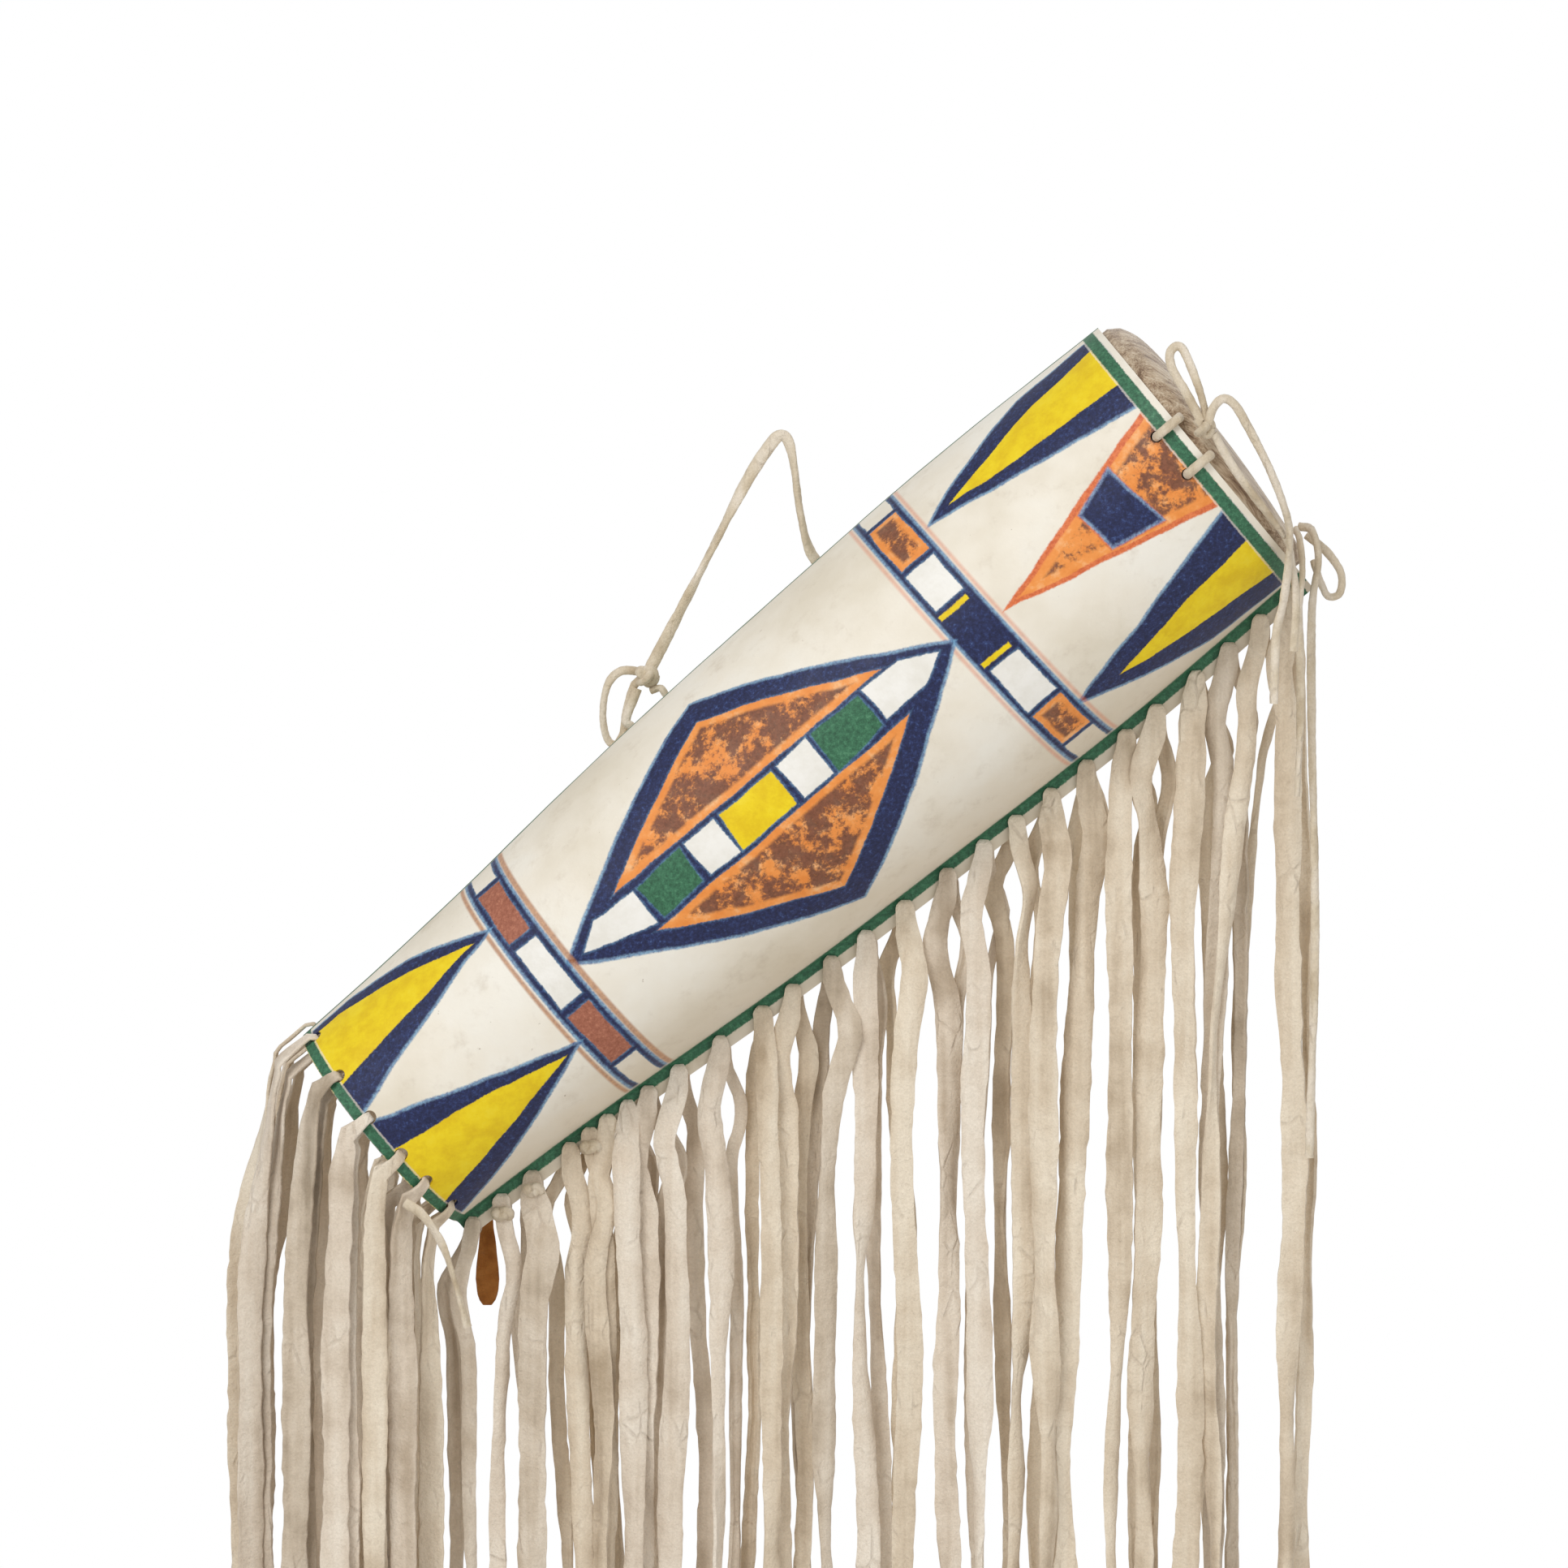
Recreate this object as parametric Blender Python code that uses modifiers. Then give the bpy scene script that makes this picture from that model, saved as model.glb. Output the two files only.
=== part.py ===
"""Painted rawhide case: a rolled rawhide tube with a laced side seam, a domed lid, an inset bottom disc,
hide thongs, a hanging loop and long buckskin fringe. Metres, +Z up, origin at the top of the hanging loop."""

import math

import bmesh
import bpy
from mathutils import Matrix, Vector

OBJECT = "rawhide_case"
GAP = 0.0003

# The case hangs tilted. Its own frame has Z along the tube, X towards the laced seam and Y to the back.
CASE_LENGTH = 0.516
CASE_TILT = math.radians(39.7)
CASE_FOOT = Vector((-0.1954, -0.0120, -0.3388))
CASE_MATRIX = Matrix.Translation(CASE_FOOT) @ Matrix.Rotation(math.pi / 2 - CASE_TILT, 4, "Y")

# Outer radius of the tube at fractions of its length.
TUBE_RADII = ((0.0, 0.0586), (0.15, 0.0620), (0.4, 0.0716), (0.6, 0.0759), (0.8, 0.0785), (1.0, 0.0764))
TUBE_RINGS = 12
HIDE = 0.0022
ARC_STEP = math.radians(9)

# The seam: both edges of the hide turned out, face to face.
SEAM_WIDTH = 0.0112
SEAM_HOLE_OUT = 0.0056
SEAM_OFFSET = HIDE / 2 + GAP
HOLE_RADIUS = 0.0033
SEAM_HOLES_MM = (5, 23, 42, 65, 77, 88, 100, 112, 130, 155, 180, 198, 221, 242, 266, 292,
                 314, 334, 355, 377, 401, 420, 445, 466, 486, 506)

# Bottom disc and the strips laced round the bottom rim. Angles run from the front towards the seam.
CUP_DEPTH = 0.0145
CUP_HIDE = 0.0018
CUP_RADIUS = TUBE_RADII[0][1] - HIDE - 0.0005
RIM_HOLE_UP = 0.0070
RIM_ANGLES = (-90, -66, -33, -7, 16, 35, 59, 121, 145, 164, 187, 213, 246)

# Fringe strips, each doubled through its hole.
STRIP_THICK = 0.0016
STRIP_WIDTH = 0.0110
STRIP_NECK = 0.0050
STRAND_LENGTH = 0.560
STRAND_DRIFT = 0.0040

# Lid, standing in the mouth on its skirt.
LID_RADIUS = 0.0731
LID_HIDE = 0.0018
LID_SKIRT = 0.0080
LID_PROFILE = ((0.0, 0.0130), (0.30, 0.0128), (0.62, 0.0120), (0.84, 0.0104), (0.95, 0.0076), (1.0, 0.0030))

# Thongs.
LOOP_DIAMETER = 0.0042
THONG_DIAMETER = 0.0034
LOOP_HOLES = (0.423, 0.467, 0.658)
LOOP_HOLE_BACK = 0.0120
LOOP_HOLE_RADIUS = 0.0036
STITCH_ACROSS = (-0.0177, 0.0053)
STITCH_DOWN = 0.0115

RAWHIDE = (0.83, 0.77, 0.67)
BUCKSKIN = (0.66, 0.58, 0.47)
HAIR_HIDE = (0.40, 0.30, 0.20)
SMOKED_HIDE = (0.45, 0.22, 0.06)


def clear_scene():
    for old in list(bpy.data.objects):
        bpy.data.objects.remove(old, do_unlink=True)


def new_collection(name):
    collection = bpy.data.collections.new(name)
    bpy.context.scene.collection.children.link(collection)
    return collection


def hide_material(name, colour, roughness):
    made = bpy.data.materials.new(name)
    made.use_nodes = True
    shader = made.node_tree.nodes["Principled BSDF"]
    shader.inputs["Base Color"].default_value = (*colour, 1.0)
    shader.inputs["Roughness"].default_value = roughness
    shader.inputs["Metallic"].default_value = 0.0
    return made


def smooth_value(keys, at):
    """Smooth value at a place along hand-set (place, value) keys."""
    last = len(keys) - 1
    i = max(k for k in range(last) if keys[k][0] <= at or k == 0)
    slopes = []
    for k in (i, i + 1):
        low, high = max(k - 1, 0), min(k + 1, last)
        slopes.append((keys[high][1] - keys[low][1]) / (keys[high][0] - keys[low][0]))
    span = keys[i + 1][0] - keys[i][0]
    u = (at - keys[i][0]) / span
    return (
        (2 * u**3 - 3 * u**2 + 1) * keys[i][1]
        + (u**3 - 2 * u**2 + u) * span * slopes[0]
        + (3 * u**2 - 2 * u**3) * keys[i + 1][1]
        + (u**3 - u**2) * span * slopes[1]
    )


def smooth_path(route, step):
    """Points read at even steps from a smooth curve through the route."""
    fine = []
    for i in range(len(route) - 1):
        before = route[max(i - 1, 0)]
        start = route[i]
        end = route[i + 1]
        after = route[min(i + 2, len(route) - 1)]
        for k in range(24):
            u = k / 24
            fine.append(
                0.5
                * (
                    2 * start
                    + (end - before) * u
                    + (2 * before - 5 * start + 4 * end - after) * u**2
                    + (3 * start - before - 3 * end + after) * u**3
                )
            )
    fine.append(route[-1])
    lengths = [0.0]
    for a, b in zip(fine, fine[1:]):
        lengths.append(lengths[-1] + (b - a).length)
    count = max(3, round(lengths[-1] / step) + 1)
    points = []
    i = 0
    for k in range(count):
        want = lengths[-1] * k / (count - 1)
        while i < len(fine) - 2 and lengths[i + 1] < want:
            i += 1
        share = (want - lengths[i]) / (lengths[i + 1] - lengths[i])
        points.append(fine[i].lerp(fine[i + 1], min(max(share, 0.0), 1.0)))
    return points


def mesh_object(name, vertices, faces, material, parent=None):
    mesh = bpy.data.meshes.new(name)
    mesh.from_pydata([tuple(v) for v in vertices], [], faces)
    mesh.materials.append(material)
    made = bpy.data.objects.new(name, mesh)
    parts.objects.link(made)
    made.parent = parent
    return made


def smooth_shaded(made, degrees=40):
    made.data.shade_smooth()
    made.data.set_sharp_from_angle(angle=math.radians(degrees))
    return made


def solidify(made, thickness, offset=0.0):
    modifier = made.modifiers.new("Hide", "SOLIDIFY")
    modifier.thickness = thickness
    modifier.offset = offset
    modifier.use_even_offset = True
    return made


def cut(made, cutter):
    modifier = made.modifiers.new("Holes", "BOOLEAN")
    modifier.operation = "DIFFERENCE"
    modifier.solver = "EXACT"
    modifier.object = cutter
    return made


def cutter_of(name, holes, parent):
    """One cutter object holding a round punch for each (centre, direction, radius, length)."""
    mesh = bpy.data.meshes.new(name)
    punches = bmesh.new()
    for centre, direction, radius, length in holes:
        turn = Vector((0, 0, 1)).rotation_difference(direction).to_matrix().to_4x4()
        bmesh.ops.create_cone(
            punches,
            cap_ends=True,
            segments=10,
            radius1=radius,
            radius2=radius,
            depth=length,
            matrix=Matrix.Translation(centre) @ turn,
        )
    punches.to_mesh(mesh)
    punches.free()
    made = bpy.data.objects.new(name, mesh)
    cutters.objects.link(made)
    made.parent = parent
    made.hide_render = True
    made.display_type = "WIRE"
    return made


def tube_radius(up):
    return smooth_value(TUBE_RADII, min(max(up / CASE_LENGTH, 0.0), 1.0))


def case_to_world(x, y, z):
    return CASE_MATRIX @ Vector((x, y, z))


def rim_direction(degrees):
    """Outward direction in the case frame at an angle from the front towards the seam."""
    angle = math.radians(degrees)
    return Vector((math.sin(angle), -math.cos(angle), 0.0))


def seam_section(up):
    """Middle line of the hide at one height: tail, bend, round body, bend, tail."""
    radius = tube_radius(up) - HIDE / 2
    half = [(radius + SEAM_WIDTH, SEAM_OFFSET), (radius + 0.0075, SEAM_OFFSET), (radius + 0.0040, SEAM_OFFSET)]
    half += [(radius + 0.0022, 0.0017), (radius + 0.0008, 0.0028), (radius + 0.0000, 0.0048)]
    steps = int((math.pi - ARC_STEP) / ARC_STEP)
    for k in range(steps + 1):
        angle = ARC_STEP + k * (math.pi - ARC_STEP) / steps
        half.append((radius * math.cos(angle), radius * math.sin(angle)))
    front = [(x, -y) for x, y in half]
    return front + half[-2::-1]


def seam_hole(up):
    return Vector((tube_radius(up) + SEAM_HOLE_OUT, 0.0, up))


def loop_hole(share):
    up = share * CASE_LENGTH
    radius = tube_radius(up)
    return Vector((-math.sqrt(radius**2 - LOOP_HOLE_BACK**2), LOOP_HOLE_BACK, up))


def make_tube():
    rings = []
    for k in range(TUBE_RINGS):
        up = CASE_LENGTH * k / (TUBE_RINGS - 1)
        rings.append([Vector((x, y, up)) for x, y in seam_section(up)])
    wide = len(rings[0])
    faces = []
    for k in range(TUBE_RINGS - 1):
        for i in range(wide - 1):
            a = k * wide + i
            faces.append((a, a + 1, a + 1 + wide, a + wide))
    vertices = [v for ring in rings for v in ring]
    tube = mesh_object("rawhide_tube", vertices, faces, rawhide, case_frame)
    solidify(tube, HIDE)
    back = Vector((0, 1, 0))
    holes = [(seam_hole(mm / 1000), back, HOLE_RADIUS, 0.03) for mm in SEAM_HOLES_MM]
    for degrees in RIM_ANGLES:
        out = rim_direction(degrees)
        centre = out * (tube_radius(RIM_HOLE_UP) - HIDE / 2)
        centre.z = RIM_HOLE_UP
        holes.append((centre, out, HOLE_RADIUS, 0.016))
    for share in LOOP_HOLES:
        centre = loop_hole(share)
        holes.append((centre, Vector((centre.x, centre.y, 0)).normalized(), LOOP_HOLE_RADIUS, 0.016))
    for across in STITCH_ACROSS:
        centre = Vector((across, -tube_radius(CASE_LENGTH - STITCH_DOWN), CASE_LENGTH - STITCH_DOWN))
        holes.append((centre, back, THONG_DIAMETER / 2 + 0.0008, 0.016))
    cut(tube, cutter_of("tube_punches", holes, case_frame))
    return smooth_shaded(tube)


def turned(name, outline, material, steps=40):
    """A closed outline of (radius, height) points turned about the case axis."""
    vertices = [(radius, 0, height) for radius, height in outline]
    mesh = bpy.data.meshes.new(name)
    mesh.from_pydata(vertices, [(i, i + 1) for i in range(len(vertices) - 1)], [])
    mesh.materials.append(material)
    made = bpy.data.objects.new(name, mesh)
    parts.objects.link(made)
    made.parent = case_frame
    screw = made.modifiers.new("Turn", "SCREW")
    screw.steps = steps
    screw.render_steps = steps
    screw.use_merge_vertices = True
    screw.merge_threshold = 0.00005
    screw.use_smooth_shade = False
    return made


def make_bottom_disc():
    """A shallow cup set in the foot of the tube, its open side outward, punched like the rim."""
    inner = CUP_RADIUS - CUP_HIDE
    outline = [(0.0, CUP_DEPTH), (CUP_RADIUS - 0.0030, CUP_DEPTH), (CUP_RADIUS - 0.0008, CUP_DEPTH - 0.0012)]
    outline += [(CUP_RADIUS, CUP_DEPTH - 0.0035), (CUP_RADIUS, 0.0010), (inner, 0.0010)]
    outline += [(inner, CUP_DEPTH - 0.0042), (inner - 0.0012, CUP_DEPTH - CUP_HIDE), (0.0, CUP_DEPTH - CUP_HIDE)]
    disc = turned("bottom_disc", outline, rawhide)
    holes = []
    for degrees in RIM_ANGLES:
        out = rim_direction(degrees)
        centre = out * (CUP_RADIUS - CUP_HIDE / 2)
        centre.z = RIM_HOLE_UP
        holes.append((centre, out, HOLE_RADIUS, 0.008))
    cut(disc, cutter_of("disc_punches", holes, case_frame))
    return disc


def make_lid():
    outer = [(LID_RADIUS * share, CASE_LENGTH + rise) for share, rise in LID_PROFILE]
    outer.append((LID_RADIUS, CASE_LENGTH - LID_SKIRT))
    inner = [(LID_RADIUS - LID_HIDE, CASE_LENGTH - LID_SKIRT)]
    for share, rise in reversed(LID_PROFILE):
        inner.append((max(LID_RADIUS * share - LID_HIDE * share**2, 0.0), CASE_LENGTH + rise - LID_HIDE))
    lid = turned("lid", outer + inner, hair_hide)
    return smooth_shaded(lid)


def ribbon(name, points, across, widths, material):
    """A strip of hide along its middle points, with its side direction and width at each."""
    vertices = []
    for point, side, width in zip(points, across, widths):
        vertices.append(point - side * width / 2)
        vertices.append(point + side * width / 2)
    faces = [(2 * i, 2 * i + 1, 2 * i + 3, 2 * i + 2) for i in range(len(points) - 1)]
    made = mesh_object(name, vertices, faces, material)
    solidify(made, STRIP_THICK)
    return smooth_shaded(made, 60)


def strand_widths(depths, width):
    return [STRIP_NECK + (width - STRIP_NECK) * min(1.0, depth / 0.030) for depth in depths]


def make_seam_strip(number, hole, width):
    """Doubled through a seam hole: one strand in front of the seam and one behind."""
    centre = case_to_world(*hole)
    stand_off = HIDE + 2 * GAP + STRIP_THICK / 2 + 0.0003
    depths = (STRAND_LENGTH, 0.42, 0.28, 0.15, 0.07, 0.030, 0.014, 0.0045)
    front = [Vector((-STRAND_DRIFT * min(1.0, depth / 0.15), -stand_off, -depth)) for depth in depths]
    bight = [Vector((0, -stand_off * 0.93, -0.0012)), Vector((0, -stand_off * 0.55, 0.0001)), Vector((0, 0, 0.0003))]
    half = front + bight
    behind = [Vector((-p.x, -p.y, p.z)) for p in half[-2::-1]]
    points = [centre + p for p in half + behind]
    half_widths = strand_widths(depths, width) + [STRIP_NECK] * len(bight)
    widths = half_widths + half_widths[-2::-1]
    return ribbon(f"seam_strip_{number:02d}", points, [Vector((1, 0, 0))] * len(points), widths, buckskin)


def make_seam_strips():
    places = [mm / 1000 for mm in SEAM_HOLES_MM]
    for i, up in enumerate(places):
        near = min(abs(up - other) for other in places if other != up)
        width = min(STRIP_WIDTH, near * math.cos(CASE_TILT) - 0.0012)
        make_seam_strip(i + 1, seam_hole(up), width)


def make_rim_strip(number, degrees):
    """Doubled through a bottom rim hole: both strands leave past the rim's edge and hang down."""
    out = rim_direction(degrees)
    wall = tube_radius(RIM_HOLE_UP)
    outer = wall + STRIP_THICK / 2 + 0.0006
    inner = CUP_RADIUS - CUP_HIDE - STRIP_THICK / 2 - 0.0006
    run = [(-0.0160, 0.0), (-0.0110, 0.0), (-0.0045, 0.0), (0.0015, 0.0), (0.0048, 0.0)]
    route = [case_to_world(*(out * (outer + 0.0010) + Vector((0, 0, up)))) for up, _ in run]
    route.append(case_to_world(*(out * (wall + 0.0006) + Vector((0, 0, RIM_HOLE_UP - 0.0002)))))
    route.append(case_to_world(*(out * (CUP_RADIUS - CUP_HIDE / 2) + Vector((0, 0, RIM_HOLE_UP)))))
    route += [case_to_world(*(out * inner + Vector((0, 0, up)))) for up, _ in reversed(run)]
    side = Vector((math.cos(math.radians(degrees)), math.sin(math.radians(degrees)), 0.0))
    at_rim = (CASE_MATRIX.to_3x3() @ side).normalized()
    below = Vector((at_rim.x, at_rim.y, 0.0)).normalized()
    depths = (STRAND_LENGTH, 0.40, 0.24, 0.11, 0.045, 0.018, 0.006)
    outer_strand = [route[0] + Vector((-0.004, 0, -depth)) for depth in depths]
    inner_strand = [route[-1] + Vector((-0.004, 0, -depth)) for depth in reversed(depths)]
    points = outer_strand + route + inner_strand
    hang = strand_widths(depths, 0.0090)
    widths = hang + [STRIP_NECK] * len(route) + hang[::-1]
    across = [below] * len(depths) + [at_rim] * len(route) + [below] * len(depths)
    return ribbon(f"rim_strip_{number:02d}", points, across, widths, buckskin)


def cord(name, route, diameter, pitch=2.4):
    """A thong as a round tube along a smooth curve through its route, a point every so many diameters."""
    curve = bpy.data.curves.new(name, "CURVE")
    curve.dimensions = "3D"
    curve.bevel_depth = diameter / 2
    curve.bevel_resolution = 2
    curve.render_resolution_u = 0
    curve.use_fill_caps = True
    points = smooth_path([Vector(p) for p in route], diameter * pitch)
    spline = curve.splines.new("POLY")
    spline.points.add(len(points) - 1)
    for target, point in zip(spline.points, points):
        target.co = (*point, 1.0)
    curve.materials.append(buckskin)
    made = bpy.data.objects.new(name, curve)
    parts.objects.link(made)
    return made


def knot(name, centre, size):
    """A hard-drawn knot as a smooth lump."""
    mesh = bpy.data.meshes.new(name)
    lump = bmesh.new()
    bmesh.ops.create_uvsphere(lump, u_segments=12, v_segments=8, radius=0.5)
    bmesh.ops.scale(lump, vec=size, verts=lump.verts)
    lump.to_mesh(mesh)
    lump.free()
    mesh.materials.append(buckskin)
    made = bpy.data.objects.new(name, mesh)
    parts.objects.link(made)
    made.location = centre
    return smooth_shaded(made, 60)


def make_hanging_loop():
    """A thong over the peg: one end through the tube, the other knotted to a tie with a bow."""
    right_hole = loop_hole(LOOP_HOLES[2])
    outward = Vector((right_hole.x, right_hole.y, 0)).normalized()
    inside = case_to_world(*(right_hole - outward * 0.012))
    above = case_to_world(*(right_hole + outward * 0.006))
    knot_centre = Vector((-0.0664, 0.0, -0.1190))
    radius = LOOP_DIAMETER / 2
    left_end = Vector((-0.0634, 0.0, -0.1128))
    route = [left_end, (-0.0400, 0.001, -0.0680), (-0.0190, 0.001, -0.0270), (-0.0070, 0.0, -0.0080)]
    route += [(-0.0010, 0.0, -radius), (0.0030, 0.0, -0.0060), (0.0058, 0.0, -0.0200)]
    route += [(0.0085, 0.0, -0.0400), above, inside]
    cord("hanging_loop", route, LOOP_DIAMETER)
    knot("hanging_loop_knot", knot_centre, (0.0110, 0.0100, 0.0090))
    first, second = loop_hole(LOOP_HOLES[0]), loop_hole(LOOP_HOLES[1])
    route = [knot_centre + Vector((-0.0045, 0.0020, -0.0064))]
    for hole in (first, second):
        out = Vector((hole.x, hole.y, 0)).normalized()
        steps = (0.0055, 0.0015, -0.0025, -0.0065)
        steps = steps if hole is first else steps[::-1]
        route += [case_to_world(*(hole + out * step)) for step in steps]
    route.append(knot_centre + Vector((0.0020, 0.0020, -0.0074)))
    cord("hanging_loop_tie", route, THONG_DIAMETER, 1.2)
    route = [(-0.0738, 0.0, -0.1178), (-0.0800, 0.002, -0.1185), (-0.0845, 0.004, -0.1260)]
    route += [(-0.0850, 0.006, -0.1400), (-0.0838, 0.007, -0.1500), (-0.0800, 0.007, -0.1500)]
    route += [(-0.0778, 0.006, -0.1380), (-0.0752, 0.003, -0.1265)]
    cord("hanging_loop_bow", route, THONG_DIAMETER, 1.4)


def make_lid_stitch(number, across):
    """From inside the tube out through its wall, up over the rim and in to the lid's side."""
    top = CASE_LENGTH
    wall = tube_radius(top - STITCH_DOWN)
    outside = wall + THONG_DIAMETER / 2 + 0.0010
    side = math.sqrt(LID_RADIUS**2 - across**2) + 0.0012
    route = [(-(wall - 0.0085), top - STITCH_DOWN - 0.0010), (-wall, top - STITCH_DOWN)]
    route += [(-outside - 0.0004, top - STITCH_DOWN + 0.0022), (-outside - 0.0004, top - 0.0030)]
    route += [(-outside + 0.0002, top + 0.0012), (-wall - 0.0002, top + 0.0028), (-side, top + 0.0028)]
    shift = wall - math.sqrt(wall**2 - across**2)
    points = [case_to_world(across, y + (shift if i < 6 else 0), z) for i, (y, z) in enumerate(route)]
    cord(f"lid_stitch_{number}", points, THONG_DIAMETER, 0.7)


def make_lid_thongs():
    """The knot that holds the lid thong, its bows and its two hanging ends."""
    front = CASE_FOOT.y
    knot("lid_knot", case_to_world(-0.0065, -0.0812, CASE_LENGTH + 0.0085), (0.0080, 0.0080, 0.0080))
    route = [(0.2005, front - 0.0830, 0.0080), (0.1950, front - 0.0810, 0.0180), (0.1890, front - 0.0780, 0.0290)]
    route += [(0.1884, front - 0.0760, 0.0375), (0.1925, front - 0.0750, 0.0380), (0.1975, front - 0.0770, 0.0270)]
    route += [(0.2025, front - 0.0800, 0.0120)]
    cord("lid_bow_left", route, THONG_DIAMETER, 1.4)
    route = [(0.2080, front - 0.0840, 0.0050), (0.2092, front - 0.0840, 0.0120), (0.2130, front - 0.0830, 0.0150)]
    route += [(0.2185, front - 0.0820, 0.0120), (0.2245, front - 0.0800, 0.0020), (0.2344, front - 0.0760, -0.0170)]
    route += [(0.2416, front - 0.0700, -0.0352), (0.2446, front - 0.0620, -0.0480), (0.2440, front - 0.0540, -0.0656)]
    route += [(0.2416, front - 0.0500, -0.0828), (0.2385, front - 0.0480, -0.0980), (0.2375, front - 0.0470, -0.1300)]
    cord("closure_thong", route, THONG_DIAMETER, 1.6)
    route = [(0.2500, front - 0.0100, -0.0460), (0.2560, front - 0.0140, -0.0480), (0.2590, front - 0.0180, -0.0620)]
    route += [(0.2560, front - 0.0180, -0.0860), (0.2560, front - 0.0170, -0.1400), (0.2580, front - 0.0160, -0.2400)]
    route += [(0.2555, front - 0.0160, -0.3500)]
    cord("closure_thong_tail", route, THONG_DIAMETER)
    route = [(0.2535, front - 0.0020, -0.0480), (0.2640, front - 0.0040, -0.0580), (0.2705, front - 0.0060, -0.0690)]
    route += [(0.2690, front - 0.0070, -0.0785), (0.2640, front - 0.0070, -0.0770), (0.2600, front - 0.0060, -0.0650)]
    route += [(0.2560, front - 0.0030, -0.0560)]
    cord("closure_bow", route, THONG_DIAMETER, 1.4)


def make_foot_thongs():
    """A short thong end at the foot and a smoked hide tab hanging behind the seam."""
    front = CASE_FOOT.y
    route = [(-0.1780, front - 0.0560, -0.3700), (-0.1690, front - 0.0580, -0.3760), (-0.1600, front - 0.0570, -0.3900)]
    route += [(-0.1540, front - 0.0560, -0.4080), (-0.1480, front - 0.0550, -0.4300)]
    cord("foot_thong", route, THONG_DIAMETER)
    points = [Vector((-0.1448, front + 0.0140, z)) for z in (-0.376, -0.392, -0.408, -0.420, -0.427)]
    widths = (0.0060, 0.0095, 0.0110, 0.0090, 0.0040)
    ribbon("smoked_hide_tab", points, [Vector((1, 0, 0))] * len(points), widths, smoked_hide)


clear_scene()
parts = new_collection(OBJECT)
cutters = new_collection("cutters")
rawhide = hide_material("rawhide", RAWHIDE, 0.55)
buckskin = hide_material("buckskin", BUCKSKIN, 0.90)
hair_hide = hide_material("hair_on_hide", HAIR_HIDE, 0.75)
smoked_hide = hide_material("smoked_hide", SMOKED_HIDE, 0.80)
case_frame = bpy.data.objects.new("case_frame", None)
case_frame.matrix_world = CASE_MATRIX
parts.objects.link(case_frame)

make_tube()
make_bottom_disc()
make_lid()
make_seam_strips()
for count, angle in enumerate(RIM_ANGLES):
    make_rim_strip(count + 1, angle)
make_hanging_loop()
for count, place in enumerate(STITCH_ACROSS):
    make_lid_stitch(count + 1, place)
make_lid_thongs()
make_foot_thongs()
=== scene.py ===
"""A painted rawhide case hung by its thong, with a laced side seam, a hide lid and a long buckskin fringe."""

import math

import bmesh
import bpy
import numpy as np
from mathutils import Matrix, Vector


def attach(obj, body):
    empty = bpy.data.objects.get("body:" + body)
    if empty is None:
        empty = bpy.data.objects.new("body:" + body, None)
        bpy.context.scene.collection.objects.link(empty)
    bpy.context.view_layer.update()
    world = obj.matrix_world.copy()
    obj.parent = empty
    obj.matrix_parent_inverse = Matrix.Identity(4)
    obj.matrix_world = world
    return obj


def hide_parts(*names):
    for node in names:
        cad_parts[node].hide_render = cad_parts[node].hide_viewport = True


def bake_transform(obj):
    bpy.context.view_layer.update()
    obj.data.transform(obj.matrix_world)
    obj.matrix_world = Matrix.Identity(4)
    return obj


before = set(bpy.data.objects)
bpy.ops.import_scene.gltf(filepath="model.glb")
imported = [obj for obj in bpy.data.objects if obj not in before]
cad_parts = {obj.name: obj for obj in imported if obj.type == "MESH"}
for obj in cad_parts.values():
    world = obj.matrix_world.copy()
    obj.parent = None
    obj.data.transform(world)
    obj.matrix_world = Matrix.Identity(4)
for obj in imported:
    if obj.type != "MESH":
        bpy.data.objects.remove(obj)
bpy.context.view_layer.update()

scene = bpy.context.scene

# ---------------------------------------------------------------------------------------------
# Camera and setting. The case hangs well above a small pale floor, in a plain white room, seen
# from in front and a little towards its mouth, under one broad soft light and a weaker one.
# ---------------------------------------------------------------------------------------------
view_centre = Vector((0.0012, -0.0120, -0.1710))
camera_data = bpy.data.cameras.new("camera")
camera_data.sensor_width = 36.0
camera_data.lens = 175.2
camera = bpy.data.objects.new("camera", camera_data)
camera.location = view_centre + Vector((0.198, -3.690, 0.165))
camera.rotation_euler = (view_centre - camera.location).to_track_quat("-Z", "Y").to_euler()
scene.collection.objects.link(camera)
scene.camera = camera
scene.view_settings.view_transform = "Standard"

room = bpy.data.worlds.new("room")
room.use_nodes = True
room_light = room.node_tree.nodes["Background"]
room_light.inputs["Color"].default_value = (1.0, 1.0, 1.0, 1.0)
room_light.inputs["Strength"].default_value = 1.0
seen_room = room.node_tree.nodes.new("ShaderNodeLightPath")
room_level = room.node_tree.nodes.new("ShaderNodeMapRange")
room_level.inputs["To Min"].default_value = 0.50
room_level.inputs["To Max"].default_value = 1.0
room.node_tree.links.new(seen_room.outputs["Is Camera Ray"], room_level.inputs["Value"])
room.node_tree.links.new(room_level.outputs["Result"], room_light.inputs["Strength"])
scene.world = room

for lamp_name, place, side, power in (
    ("key_light", (-1.30, -2.60, 1.70), 1.8, 52.0),
    ("fill_light", (1.90, -2.20, 0.20), 2.0, 14.0),
    ("back_light", (0.60, 2.20, 1.20), 1.8, 18.0),
):
    lamp = bpy.data.lights.new(lamp_name, "AREA")
    lamp.size = side
    lamp.energy = power
    lamp_object = bpy.data.objects.new(lamp_name, lamp)
    lamp_object.location = place
    lamp_object.rotation_euler = (view_centre - Vector(place)).to_track_quat("-Z", "Y").to_euler()
    scene.collection.objects.link(lamp_object)

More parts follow.
